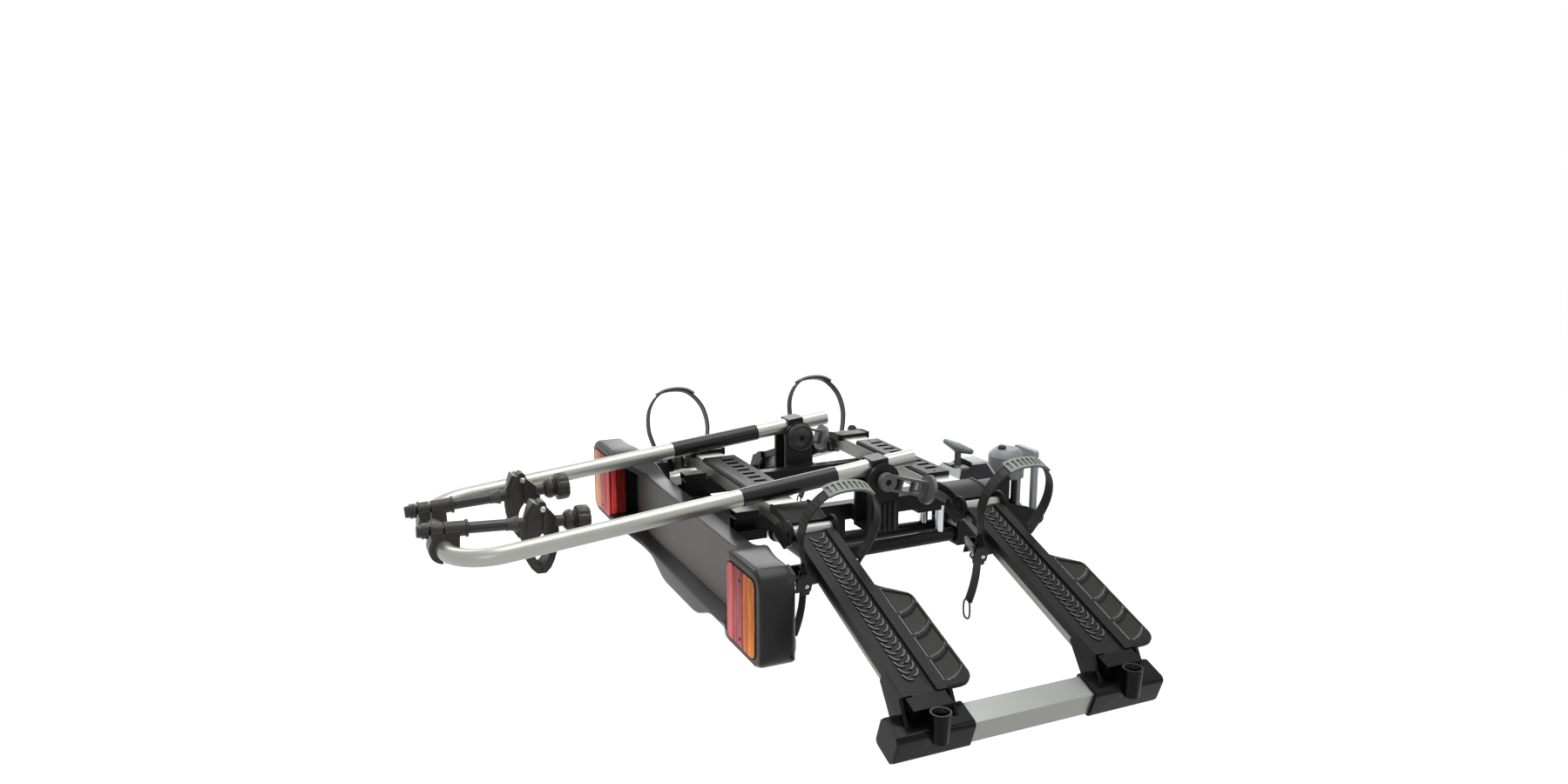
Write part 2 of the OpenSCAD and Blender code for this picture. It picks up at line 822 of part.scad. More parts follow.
module mast_brackets() {
    half = foot_half_w + post_gap;
    outer = half + post_t;
    color("black") for (s = sides) on_side(s) translate([leg_x, mast_y, 0]) {
        difference() {
            union() {
                for (k = sides) translate([k * (half + post_t / 2), 0, 0]) along_x(post_t) {
                    translate([0, (post_low + post_top - post_half) / 2])
                        square([2 * post_half, post_top - post_half - post_low], center = true);
                    translate([0, mast_z]) circle(post_half + run_gap);
                }
                block(-half, half, -post_half, post_half, post_low, post_low + post_floor_t);
                block(bar_x + bar_w / 2 - leg_x, -outer, -post_half, post_half,
                    rail_bottom - bar_h, rail_bottom);
                for (i = [0 : flute_count - 1])
                    translate([outer, (i - (flute_count - 1) / 2) * 2.6 * flute_r, post_low])
                        cylinder(r = flute_r, h = flute_top - post_low);
            }
            translate([0, 0, mast_z]) rod_x(pivot_r, 4 * outer);
        }
        translate([lever_wide / 2 + 2 * run_gap, 0, mast_z])
            rod_x(pivot_r, 2 * outer + lever_wide + 4 * run_gap);
    }
}
module pivot_caps() {
    outer = foot_half_w + post_gap + post_t;
    color("dimgray") for (s = sides) on_side(s)
        translate([leg_x - outer, mast_y, mast_z]) rotate([0, -90, 0]) difference() {
            union() {
                cylinder(r = boss_r, h = boss_t / 2);
                translate([0, 0, boss_t / 2]) cylinder(r1 = boss_r, r2 = boss_r / 2, h = boss_t / 2);
            }
            translate([0, 0, boss_t / 2]) cylinder(r = boss_hex_r, h = boss_t, $fn = 6);
        }
}
module release_lever(side) {
    outer = foot_half_w + post_gap + post_t + pass_gap / 2;
    high = lever_gap_h + 2 * lever_bar;
    color("dimgray") on_side(side)
        translate([leg_x + outer + flute_r + lever_wide / 2, mast_y, mast_z])
            rotate([-lever_fall, 0, 0]) difference() {
                union() {
                    rod_x(hub_r, lever_wide);
                    for (k = sides) translate([0, lever_reach / 2, k * (high - lever_bar) / 2])
                        cube([lever_wide, lever_reach, lever_bar], center = true);
                    for (share = rung_shares) translate([0, share * lever_reach, 0])
                        cube([lever_wide, lever_bar, high], center = true);
                    translate([0, lever_reach, 0]) rod_y(disc_r, disc_t);
                }
                rod_x(pivot_r + run_gap, 4 * lever_wide);
            }
}
module on_mast() {
    translate([0, mast_y, mast_z]) rotate([mast_droop, 0, 0]) translate([0, 0, foot_off])
        children();
}
module mast_path(r, extra) {
    for (s = sides) {
        translate([s * leg_x, arch_r - mast_len, 0]) rod_y(r, mast_len - arch_r + tail + extra);
        translate([s * (leg_x - arch_r), arch_r - mast_len, 0])
            rotate([0, 0, s > 0 ? -90 : 180]) rotate_extrude(angle = 90)
                translate([arch_r, 0]) circle(r);
    }
    translate([0, -mast_len, 0]) rod_x(r, 2 * (leg_x - arch_r));
}
module mast_tube() {
    color("silver") on_mast() difference() {
        mast_path(mast_r, 0);
        mast_path(mast_r - mast_wall, over);
    }
}
module mast_sleeves() {
    color("black") on_mast() for (s = sides) translate([s * leg_x, -sleeve_to, 0]) difference() {
        rod_y(mast_r + sleeve_wall, sleeve_to - sleeve_from);
        translate([0, -over, 0]) rod_y(mast_r, sleeve_to - sleeve_from + 2 * over);
    }
}
module mast_feet() {
    color("dimgray") on_mast() for (s = sides) translate([s * leg_x, 0, 0]) difference() {
        union() {
            translate([0, 0, -foot_off]) rod_x(foot_half_w, 2 * foot_half_w);
            along_y_box(foot_half_w, foot_len, -foot_off, mast_r + sleeve_wall);
        }
        translate([0, -2 * foot_len, 0]) rod_y(mast_r, 4 * foot_len);
        translate([0, 0, -foot_off]) rod_x(pivot_r + run_gap, 4 * foot_half_w);
    }
}
module along_y_box(half, length, low, high) {
    block(-half, half, -length / 2, length / 2, low, high);
}

// Bicycle clamps

module on_clamp(x) {
    lean = x > 0 ? clamp_tilt : clamp_tilt_left;
    on_mast() translate([x, -mast_len, 0]) rotate([-lean, 0, 0]) children();
}
module clamp_band(x) {
    barrel_r = band_top - rod_rise;
    color("black") on_clamp(x) difference() {
        union() {
            along_x(band_w) intersection() {
                circle(band_r);
                polygon([[-band_r, band_r], [-band_r, -band_r], [band_split, -band_r],
                    [band_split, -band_r * 2 / 3], [band_r, -band_r / 3], [band_r, band_r]]);
            }
            block(-band_w / 2, band_w / 2, -band_back, band_r, 0, rod_rise);
            translate([0, -band_back, rod_rise]) rod_y(barrel_r, band_back + band_fore);
            translate([0, band_fore - band_flange, rod_rise])
                rod_y(barrel_r + band_flange / 2, band_flange);
            translate([0, -band_back, rod_rise]) rod_y(barrel_r + band_flange / 2, band_flange);
        }
        rod_x(mast_r + run_gap, 2 * band_w);
        translate([0, -2 * band_top, rod_rise]) rod_y(rod_r, 4 * band_top);
        block(-band_w, band_w, -band_split / 2, band_split / 2, -2 * band_top, 2 * band_top);
    }
}
module clamp_rod(x) {
    color("black") on_clamp(x) translate([0, 0, rod_rise]) {
        translate([0, -rod_back, 0]) rod_y(rod_r, rod_back + rod_len);
        translate([0, -rod_back - rod_cap_len, 0]) rotate([-90, 0, 0])
            cylinder(r1 = rod_cap_tip_r, r2 = rod_cap_r, h = rod_cap_len);
    }
}
// Leaf of a clamp head: Y along the rod, Z along the leaf, centred on the split
module jaw_leaf() {
    side_r = (pow(jaw_t / 2, 2) + pow(jaw_w / 2, 2)) / jaw_t;
    intersection() {
        along_x(jaw_t) polygon([for (q = jaw_shares) [q[0] * jaw_w, q[1] * jaw_h]]);
        translate([side_r - jaw_t / 2, 0, -jaw_low]) cylinder(r = side_r, h = jaw_h, $fn = 96);
        translate([jaw_t / 2 - side_r, 0, -jaw_low]) cylinder(r = side_r, h = jaw_h, $fn = 96);
    }
}
// Opening between the leaves for a bicycle's frame tube
module grip_hole() {
    half_h = (grip_top - grip_low) / 2;
    arc_r = (pow(half_h, 2) + pow(grip_half, 2)) / grip_half / 2;
    translate([0, 0, (grip_top + grip_low) / 2]) along_x(2 * jaw_t) intersection() {
        translate([arc_r - grip_half, 0]) circle(r = arc_r, $fn = 96);
        translate([grip_half - arc_r, 0]) circle(r = arc_r, $fn = 96);
    }
}
module on_head(x) {
    on_clamp(x) translate([0, head_from + jaw_w / 2, rod_rise]) children();
}
function pin_z() = jaw_h - jaw_low - jaw_pin_drop;
module fixed_jaw(x) {
    knuckle_w = jaw_t / 6;
    color("black") on_head(x) {
        difference() {
            union() {
                difference() {
                    jaw_leaf();
                    block(-jaw_t, jaw_t, -jaw_split / 2, jaw_w, -jaw_h, jaw_h);
                }
                translate([0, -jaw_w / 2 - collar_len / 2, 0]) rod_y(collar_r, collar_len);
                for (s = sides) translate([s * jaw_t / 4, 0, pin_z()])
                    rod_x(jaw_knuckle_r, jaw_t / 6);
            }
            translate([0, 0, pin_z()]) rod_x(jaw_knuckle_r + pass_gap, 2 * knuckle_w + pass_gap);
            grip_hole();
            translate([0, -jaw_w, 0]) rod_y(rod_r + run_gap, jaw_w / 2 + rod_len - head_from + over);
        }
        translate([0, 0, pin_z()]) rod_x(jaw_pin_r, jaw_t * 2 / 3);
    }
}
module moving_jaw(x) {
    knuckle_w = jaw_t / 6;
    color("dimgray") on_head(x) difference() {
        union() {
            difference() {
                jaw_leaf();
                block(-jaw_t, jaw_t, -jaw_w, jaw_split / 2, -jaw_h, jaw_h);
                translate([0, 0, pin_z()]) rod_x(jaw_knuckle_r + pass_gap, jaw_t * 2);
            }
            intersection() {
                translate([0, 0, pin_z()]) rod_x(jaw_knuckle_r, 2 * knuckle_w);
                block(-jaw_t, jaw_t, -jaw_w, jaw_w, -jaw_h, jaw_h);
            }
            block(-knuckle_w, knuckle_w, jaw_split / 2, jaw_knuckle_r, pin_z() - 2 * jaw_knuckle_r,
                pin_z());
            translate([0, jaw_w / 2 - neck_len, 0]) rod_y(neck_r, neck_len + collar_len / 2);
        }
        translate([0, 0, pin_z()]) rod_x(jaw_pin_r + run_gap, 2 * jaw_t);
        grip_hole();
        translate([0, jaw_w / 4, 0]) rod_y(bolt_r + run_gap, jaw_w);
    }
}
module clamp_knob(x) {
    start = jaw_w / 2 + collar_len / 2 + pass_gap / 2;
    color("black") on_head(x) {
        translate([0, start, 0]) rotate([-90, 0, 0]) {
            cylinder(r1 = neck_r, r2 = knob_r - lobe_r, h = knob_cone_t);
            translate([0, 0, knob_cone_t]) linear_extrude(knob_t) {
                circle(knob_r - lobe_r);
                for (i = [0 : lobe_count - 1]) rotate(i * 360 / lobe_count)
                    translate([knob_r - lobe_r, 0]) circle(lobe_r);
            }
        }
        translate([0, jaw_w / 4 + pass_gap, 0]) rod_y(bolt_r, start - jaw_w / 4);
    }
}

// Folding tray arms

module arm_rail_solid() {
    block(arm_start, arm_len, -rail_w / 2, rail_w / 2, -rail_h, 0);
}
module arm_rails(side) {
    color("silver") for (y = tray_ys) on_arm(side, y) {
        difference() {
            arm_rail_solid();
            block(arm_start + knuckle_r, arm_len + over, -rail_w / 2 + rail_wall,
                rail_w / 2 - rail_wall, -rail_h + rail_wall, -rail_wall);
            rotate([90, 0, 0]) cylinder(r = knuckle_r, h = 2 * rail_w, center = true);
        }
        difference() {
            union() {
                rotate([90, 0, 0]) cylinder(r = knuckle_r, h = 2 * cheek_in - pass_gap, center = true);
                block(0, arm_start, -rail_w / 2, rail_w / 2, -rail_h, 0);
            }
            rotate([90, 0, 0]) cylinder(r = fold_pin_r + run_gap, h = 4 * cheek_in, center = true);
        }
    }
}
module rib_stroke(u, k) {
    translate([u - rib_half, 0, tray_floor_t]) linear_extrude(rib_rise) intersection() {
        difference() {
            circle(rib_half);
            circle(rib_half - rib_t);
        }
        translate([0, k > 0 ? rib_t / 2 : -rib_half]) square(rib_half - rib_t / 2);
    }
}
module wing_outline(inset) {
    polygon([[wing_from + inset, tray_w / 2 - over], [wing_from + wing_slant + inset,
        wing_reach - inset], [wing_to - wing_corner - inset, wing_reach - inset],
        [wing_to - inset, wing_reach - wing_corner - inset], [wing_to - inset, tray_w / 2 - over]]);
}
module tray() {
    end = arm_len - over;
    skin = (tray_w - rail_w) / 2;
    pocket_from = wing_from + wing_slant;
    pocket_step = (wing_to - wing_rim - pocket_from) / pocket_count;
    difference() {
        union() {
            block(tray_start, end, -tray_w / 2, tray_w / 2, 0, tray_floor_t);
            for (k = sides) translate([0, k * (channel_half + tray_w / 2) / 2, 0])
                block(tray_start, end, -(tray_w / 2 - channel_half) / 2,
                    (tray_w / 2 - channel_half) / 2, tray_floor_t, tray_t);
            for (k = sides) translate([0, k * (rail_w + skin) / 2, 0])
                block(tray_start + cheek_r, socket_from - over, -skin / 2, skin / 2, -skirt_drop, 0);
            for (i = [0 : rib_count - 1], k = sides)
                rib_stroke(rib_first + (i + (1 - k) / 4) * (rib_last - rib_first) / rib_count, k);
            translate([0, 0, tray_t - wing_t]) linear_extrude(wing_t) wing_outline(0);
        }
        for (i = [0 : pocket_count - 1]) translate([0, 0, tray_t - pocket_deep])
            linear_extrude(pocket_deep + over) intersection() {
                wing_outline(wing_rim);
                translate([pocket_from + i * pocket_step, 0])
                    square([pocket_step - pocket_rib, wing_reach - wing_rim]);
                translate([0, tray_w / 2 + wing_rim / 2]) square([wing_to, wing_reach]);
            }
        for (u = tray_hole_us) translate([u, 0, tray_floor_t / 2])
            cylinder(r = tray_hole_r, h = tray_t);
    }
}
module trays(side) {
    color("black") for (y = tray_ys) on_arm(side, y) tray();
}
module end_tube_solid(side_len, from, to) {
    translate([tube_u, (from + to) / 2, tube_w]) rotate([90, 0, 0])
        linear_extrude(to - from, center = true) square(side_len, center = true);
}
module upright() {
    translate([funnel_u, 0, funnel_w]) rotate([0, -arm_droop, 0]) children();
}
module end_block(outward) {
    out = tube_side / 2 + block_wall;
    difference() {
        union() {
            translate([tube_u, 0, tube_w]) rotate([90, 0, 0])
                linear_extrude(2 * block_half, center = true)
                    round_rect(2 * out, 2 * out, block_round);
            block(socket_from, tube_u, -socket_half, socket_half, tube_w, socket_rise);
            for (k = sides) translate([0, k * (tray_w / 2 + pass_gap / 2 + ear_t / 2), 0])
                along_y(ear_t) polygon([[ear_from, -skirt_drop], [ear_from, tray_t],
                    [arm_len, tray_t], [ear_reach, tube_w + out - over], [arm_len, tube_w]]);
            upright() translate([0, 0, -funnel_h])
                cylinder(r1 = funnel_base_r, r2 = funnel_r, h = funnel_h);
            translate([0, outward * (block_half + end_cap_t / 2), 0]) translate([tube_u, 0, tube_w])
                rotate([90, 0, 0]) linear_extrude(end_cap_t, center = true)
                    round_rect(2 * out - over, 2 * out - over, block_round);
        }
        end_tube_solid(tube_side, outward > 0 ? -block_half - over : -block_half,
            outward > 0 ? block_half : block_half + over);
        block(0, arm_len, -rail_w / 2, rail_w / 2, -rail_h, 0);
        block(0, arm_len - over, -tray_w / 2, tray_w / 2, 0, tray_t + over);
        block(0, wing_to + pass_gap, 0, wing_reach, tray_t - wing_t - pass_gap, tray_t + over);
        upright() {
            translate([0, 0, -funnel_h + funnel_floor]) cylinder(r = funnel_bore_r, h = funnel_h);
            translate([0, 0, -funnel_mouth_deep])
                cylinder(r1 = funnel_bore_r, r2 = funnel_mouth_r, h = funnel_mouth_deep + 0.01 * over);
        }
    }
}
module end_blocks(side) {
    color("black") {
        on_arm(side, tray_rear) end_block(-1);
        on_arm(side, tray_front) end_block(1);
    }
}
module end_tube(side) {
    color("silver") on_arm(side, tray_rear) difference() {
        end_tube_solid(tube_side, -block_half, tray_pitch + block_half);
        end_tube_solid(tube_side - 2 * tube_wall, -block_half - over, tray_pitch + block_half + over);
    }
}
// Frame of a strap: the drawing's X is along the car, its Y square to the tray
module on_hoop() {
    translate([strap_u, 0, 0]) children();
}
module strap() {
    hoop = hoop_line();
    on_hoop() {
        along_x(strap_w) polygon(ribbon(hoop, 0, strap_t));
        along_x(pad_w) polygon(ribbon(part_of(hoop, pad_first, pad_last), strap_t, strap_t + pad_t));
        translate([0, hoop[len(hoop) - 1][0] - anchor_t - strap_t, hoop[len(hoop) - 1][1]])
            rod_y(anchor_r, anchor_t);
        translate([0, rail_w / 2, hoop[len(hoop) - 1][1]]) rod_y(anchor_r / 2,
            hoop[len(hoop) - 1][0] - rail_w / 2 - anchor_t / 2 - strap_t);
    }
    tail_line = [for (i = [0 : tail_steps]) let (t = i / tail_steps)
        [-tail_sway * t * t, -tail_len * t]];
    translate([strap_u, hoop[0][0], buckle_w0]) rotate([0, -arm_droop, 0]) {
        along_x(strap_w) polygon(ribbon(tail_line, 0, strap_t));
        translate([0, -tail_sway + strap_t / 2, -tail_len - tail_loop / 2 + strap_t])
            rotate([90, 0, 0]) linear_extrude(strap_t, center = true) difference() {
                round_rect(strap_w, tail_loop, strap_w / 3);
                round_rect(strap_w - 3 * strap_t, tail_loop - 3 * strap_t, strap_w / 6);
            }
    }
}
module straps(side) {
    color("dimgray") for (y = tray_ys) on_arm(side, y) strap();
}
module buckle() {
    back = -tray_w / 2;
    translate([strap_u, 0, 0]) difference() {
        union() {
            block(-buckle_w / 2, buckle_w / 2, back - buckle_deep, back, buckle_w0,
                buckle_w0 + buckle_len);
            for (k = sides) translate([k * (buckle_w / 2 + buckle_cheek / 2), 0, 0])
                block(-buckle_cheek / 2, buckle_cheek / 2, back - 2 * buckle_deep, back,
                    buckle_w0 + buckle_len / 4, buckle_w0 + buckle_len);
        }
        translate([0, -hoop_half, 0]) block(-strap_w / 2 - over, strap_w / 2 + over, -over, 2 * over,
            -hoop_h, hoop_h);
    }
    translate([strap_u, back - 1.5 * buckle_deep, lever_pin_w])
        rod_x(lever_pin_r, buckle_w + 2 * buckle_cheek);
    block(strap_u - buckle_w / 2, strap_u + buckle_w / 2, back, -rail_w / 2, buckle_w0 + buckle_len / 2,
        -skirt_drop);
}
module buckles(side) {
    color("black") for (y = tray_ys) on_arm(side, y) buckle();
}
module buckle_lever(side, y) {
    color("gray") on_arm(side, y)
        translate([strap_u, -tray_w / 2 - 1.5 * buckle_deep, lever_pin_w]) rotate([lever_lean, 0, 0])
            difference() {
                union() {
                    rod_x(2 * lever_pin_r, buckle_w - pass_gap);
                    block(-buckle_w / 2 + pass_gap / 2, buckle_w / 2 - pass_gap / 2, -lever_t,
                        0, 0, lever_len);
                }
                rod_x(lever_pin_r + run_gap, 2 * buckle_w);
            }
}

coupling_frame();
chassis_tubes();
tilt_cross_tube();
ball_cup();
ball_jaw();
clamp_lever();
lock_barrel();
coupling_hood();
release_handle();
rest_posts();
side_bars();
centre_rail(tray_rear);  // rear_rail
centre_rail(tray_front);  // front_rail
rail_cover(tray_rear, cover_rear_w);  // rear_rail_cover
rail_cover(tray_front, cover_front_w);  // front_rail_cover
inner_trays();
fold_brackets(1);  // fold_brackets_right
fold_brackets(-1);  // fold_brackets_left
tilt_ears();
rear_deck();
board_boxes();
latch_tongue();
light_board();
number_panel();
lamp_bases();
lamp_lens(1);  // lamp_lens_right
lamp_lens(-1);  // lamp_lens_left
mast_brackets();
pivot_caps();
release_lever(1);  // release_lever_right
release_lever(-1);  // release_lever_left
mast_tube();
mast_sleeves();
mast_feet();
clamp_band(clamp_right_x);  // clamp_band_right
clamp_rod(clamp_right_x);  // clamp_rod_right
fixed_jaw(clamp_right_x);  // fixed_jaw_right
moving_jaw(clamp_right_x);  // moving_jaw_right
clamp_knob(clamp_right_x);  // clamp_knob_right
clamp_band(clamp_left_x);  // clamp_band_left
clamp_rod(clamp_left_x);  // clamp_rod_left
fixed_jaw(clamp_left_x);  // fixed_jaw_left
moving_jaw(clamp_left_x);  // moving_jaw_left
clamp_knob(clamp_left_x);  // clamp_knob_left
arm_rails(1);  // arm_rails_right
trays(1);  // trays_right
end_blocks(1);  // end_blocks_right
end_tube(1);  // end_tube_right
straps(1);  // straps_right
buckles(1);  // buckles_right
buckle_lever(1, tray_rear);  // buckle_lever_rear_right
buckle_lever(1, tray_front);  // buckle_lever_front_right
arm_rails(-1);  // arm_rails_left
trays(-1);  // trays_left
end_blocks(-1);  // end_blocks_left
end_tube(-1);  // end_tube_left
straps(-1);  // straps_left
buckles(-1);  // buckles_left
buckle_lever(-1, tray_rear);  // buckle_lever_rear_left
buckle_lever(-1, tray_front);  // buckle_lever_front_left
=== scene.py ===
import json
import math

import bmesh
import bpy
from mathutils import Matrix, Vector

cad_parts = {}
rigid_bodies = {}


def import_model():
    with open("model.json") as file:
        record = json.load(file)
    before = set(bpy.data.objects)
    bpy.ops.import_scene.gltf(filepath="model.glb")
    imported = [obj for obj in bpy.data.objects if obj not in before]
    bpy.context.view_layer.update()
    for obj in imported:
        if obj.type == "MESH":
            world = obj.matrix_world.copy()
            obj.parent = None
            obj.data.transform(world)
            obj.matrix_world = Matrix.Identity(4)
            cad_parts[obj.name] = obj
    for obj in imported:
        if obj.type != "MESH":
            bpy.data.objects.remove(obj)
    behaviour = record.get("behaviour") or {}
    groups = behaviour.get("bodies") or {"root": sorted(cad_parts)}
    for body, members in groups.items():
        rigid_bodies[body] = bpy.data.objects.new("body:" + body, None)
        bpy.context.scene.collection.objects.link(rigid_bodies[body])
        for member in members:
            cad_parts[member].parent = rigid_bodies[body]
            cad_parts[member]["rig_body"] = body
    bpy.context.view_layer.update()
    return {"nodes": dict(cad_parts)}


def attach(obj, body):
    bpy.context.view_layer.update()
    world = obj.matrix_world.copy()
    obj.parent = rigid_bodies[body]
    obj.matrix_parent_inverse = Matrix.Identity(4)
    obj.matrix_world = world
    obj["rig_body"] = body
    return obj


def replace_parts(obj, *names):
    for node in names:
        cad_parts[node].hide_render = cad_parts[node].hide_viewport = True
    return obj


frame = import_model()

# Studio: a pale floor under the rack, a white surround that only the camera
# and the glossy surfaces see, and soft lamps. The camera stands behind the
# car, to its right, a little above the rack.
CAMERA_PLACE = (1.9590, -1.4131, 0.6458)
CAMERA_PITCH = 11.69
CAMERA_TURN = 65.47
CAMERA_LENS = 26.45
SENSOR_WIDTH = 36.0
VIEW_END = 200.0
AIR_TINT = (0.95, 0.97, 1.0, 1)
AIR_STRENGTH = 0.2
FLOOR_HEIGHT = -0.42
FLOOR_HALF = 40.0
PAPER_GREY = (0.35, 0.35, 0.35, 1)
PAPER_ROUGH = 0.9
PAPER_GLOW = 0.86
LAMPS = (  # name, place, aim, watts, size
    ("overhead", (0.0, -0.3, 2.7), (0, -0.5, 0), 62.0, 2.6),
    ("behind", (-2.7, 0.7, 1.25), (0, -0.4, 0), 26.0, 2.0),
    ("rear_side", (2.8, -2.9, 1.2), (0.2, -0.5, 0), 8.0, 1.4),
    ("front_side", (2.4, 1.6, 1.7), (0.2, -0.4, 0), 8.0, 1.4),
    ("far_side", (-2.4, -1.6, 1.9), (0, -0.5, 0), 16.0, 1.4))


def placed(name, data):
    made = bpy.data.objects.new(name, data)
    bpy.context.scene.collection.objects.link(made)
    return made


def feed(tree, shader, inputs):
    """Gives inputs of a shader node, by name or number, a value or a node's output."""
    for name, value in inputs.items():
        if isinstance(value, bpy.types.NodeSocket):
            tree.links.new(value, shader.inputs[name])
        else:
            shader.inputs[name].default_value = value


def add(tree, kind, inputs, **settings):
    """A new shader node with its settings and inputs."""
    made = tree.nodes.new(kind)
    for name, value in settings.items():
        setattr(made, name, value)
    feed(tree, made, inputs)
    return made


def by_ray(tree, plain, seen):
    """Plain shading for the light, and the pale background for what looks at it."""
    path = tree.nodes.new("ShaderNodeLightPath")
    looks = path.outputs["Is Camera Ray"]
    for second in ("Is Glossy Ray", "Is Transmission Ray"):
        looks = add(tree, "ShaderNodeMath", {0: looks, 1: path.outputs[second]},
                    operation="MAXIMUM").outputs[0]
    return add(tree, "ShaderNodeMixShader", {0: looks, 1: plain, 2: seen}).outputs[0]


def glow(tree, kind, strength):
    return add(tree, kind, {"Color": (1, 1, 1, 1), "Strength": strength}).outputs[0]


camera_data = bpy.data.cameras.new("photo_camera")
camera_data.sensor_fit = "HORIZONTAL"
camera_data.sensor_width = SENSOR_WIDTH
camera_data.lens = CAMERA_LENS
camera_data.clip_end = VIEW_END
camera = placed("photo_camera", camera_data)
camera.location = CAMERA_PLACE
camera.rotation_euler = (math.radians(90 - CAMERA_PITCH), 0, math.radians(CAMERA_TURN))
bpy.context.scene.camera = camera
bpy.context.scene.view_settings.view_transform = "Standard"

world = bpy.data.worlds.new("studio_air")
world.use_nodes = True
bpy.context.scene.world = world
air = world.node_tree
dim_air = air.nodes["Background"]
feed(air, dim_air, {"Color": AIR_TINT, "Strength": AIR_STRENGTH})
feed(air, air.nodes["World Output"], {
    "Surface": by_ray(air, dim_air.outputs[0], glow(air, "ShaderNodeBackground", 1.0))})

floor_mesh = bpy.data.meshes.new("floor")
floor_shape = bmesh.new()
bmesh.ops.create_grid(floor_shape, x_segments=1, y_segments=1, size=FLOOR_HALF)
bmesh.ops.translate(floor_shape, verts=floor_shape.verts, vec=(0, 0, FLOOR_HEIGHT))
floor_shape.to_mesh(floor_mesh)
floor_shape.free()
floor = placed("floor", floor_mesh)
paper = bpy.data.materials.new("floor_paper")
paper.use_nodes = True
sheet = paper.node_tree
feed(sheet, sheet.nodes["Principled BSDF"], {"Base Color": PAPER_GREY, "Roughness": PAPER_ROUGH})
paper_lit = sheet.nodes["Principled BSDF"].outputs[0]
faint_shadow = add(sheet, "ShaderNodeAddShader", {
    0: paper_lit, 1: glow(sheet, "ShaderNodeEmission", PAPER_GLOW)})
feed(sheet, sheet.nodes["Material Output"], {
    "Surface": by_ray(sheet, paper_lit, faint_shadow.outputs[0])})
floor_mesh.materials.append(paper)

for lamp_name, place, aim, watts, size in LAMPS:
    lamp_data = bpy.data.lights.new(lamp_name, "AREA")
    lamp_data.shape = "DISK"
    lamp_data.energy = watts
    lamp_data.size = size
    lamp = placed(lamp_name, lamp_data)
    lamp.location = place
    lamp.rotation_euler = (Vector(aim) - Vector(place)).to_track_quat("-Z", "Y").to_euler()


# Chassis under the platform: two round steel tubes that run together towards
# the coupling, and a thicker cross tube on which the platform tilts. They are
# welded steel with a matt black powder coat.
CLOUD_SCALE = 22.0
CLOUD_DETAIL = 5.0
GRAIN_DETAIL = 3.0
RELIEF_DEPTH = 0.0004
EDGE_ANGLE = math.radians(32)
FLAT_ANGLE = math.radians(0.4)
NODE_GAP = 2e-6
PIECE_GAP = 1e-6


def finish(name, colour, rough, metal=0.0, mottle=0.1, grain=900.0, dent=0.12,
           stretch=(1.0, 1.0, 1.0), smear=0.05, specular=0.5):
    """A surface whose colour, roughness and fine relief vary over the piece."""
    material = bpy.data.materials.new(name)
    material.use_nodes = True
    tree = material.node_tree
    place = tree.nodes.new("ShaderNodeTexCoord").outputs["Object"]
    turn = add(tree, "ShaderNodeMapping", {"Scale": stretch, "Vector": place})
    cloud = add(tree, "ShaderNodeTexNoise", {
        "Scale": CLOUD_SCALE, "Detail": CLOUD_DETAIL, "Vector": place}).outputs["Fac"]
    tint = add(tree, "ShaderNodeMix", {
        "A": (*[c * (1 - mottle) for c in colour], 1),
        "B": (*[min(1.0, c * (1 + mottle)) for c in colour], 1),
        "Factor": cloud}, data_type="RGBA")
    fine = add(tree, "ShaderNodeTexNoise", {
        "Scale": grain, "Detail": GRAIN_DETAIL, "Vector": turn.outputs["Vector"]}).outputs["Fac"]
    halved = add(tree, "ShaderNodeMath", {0: cloud, 1: 0.5}, operation="MULTIPLY")
    mixed = add(tree, "ShaderNodeMath", {0: fine, 1: 0.5, 2: halved.outputs[0]},
                operation="MULTIPLY_ADD")
    gloss = add(tree, "ShaderNodeMapRange", {
        "To Min": rough - smear, "To Max": rough + smear, "Value": mixed.outputs[0]})
    relief = add(tree, "ShaderNodeBump", {
        "Strength": dent, "Distance": RELIEF_DEPTH, "Height": fine})
    feed(tree, tree.nodes["Principled BSDF"], {
        "Metallic": metal, "Specular IOR Level": specular, "Base Color": tint.outputs["Result"],
        "Roughness": gloss.outputs["Result"], "Normal": relief.outputs["Normal"]})
    return material


def body_of(node):
    return frame["nodes"][node]["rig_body"]


def keep(shape, name, materials, body, merge=True):
    """Turns a finished bmesh into a piece that rides on a body."""
    if merge:
        bmesh.ops.remove_doubles(shape, verts=shape.verts, dist=PIECE_GAP)
        bmesh.ops.recalc_face_normals(shape, faces=shape.faces)
    mesh = bpy.data.meshes.new(name)
    shape.to_mesh(mesh)
    shape.free()
    for material in materials:
        mesh.materials.append(material)
    mesh.polygons.foreach_set("use_smooth", [True] * len(mesh.polygons))
    mesh.set_sharp_from_angle(angle=EDGE_ANGLE)
    piece = placed(name, mesh)
    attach(piece, body)
    return piece


def soften(piece, width, segments=2):
    """Rounds a piece's edges a little, as moulding, rolling or coating does."""
    round_over = piece.modifiers.new("edges", "BEVEL")
    round_over.width = width
    round_over.segments = segments
    round_over.limit_method = "ANGLE"
    round_over.angle_limit = EDGE_ANGLE
    round_over.harden_normals = True
    return piece


def merged(node):
    """A copy of the CAD node's own mesh, with its corners joined."""
    shape = bmesh.new()
    shape.from_mesh(frame["nodes"][node].data)
    bmesh.ops.remove_doubles(shape, verts=shape.verts, dist=NODE_GAP)
    return shape


def flatten(shape):
    bmesh.ops.dissolve_limit(shape, angle_limit=FLAT_ANGLE, verts=shape.verts, edges=shape.edges)


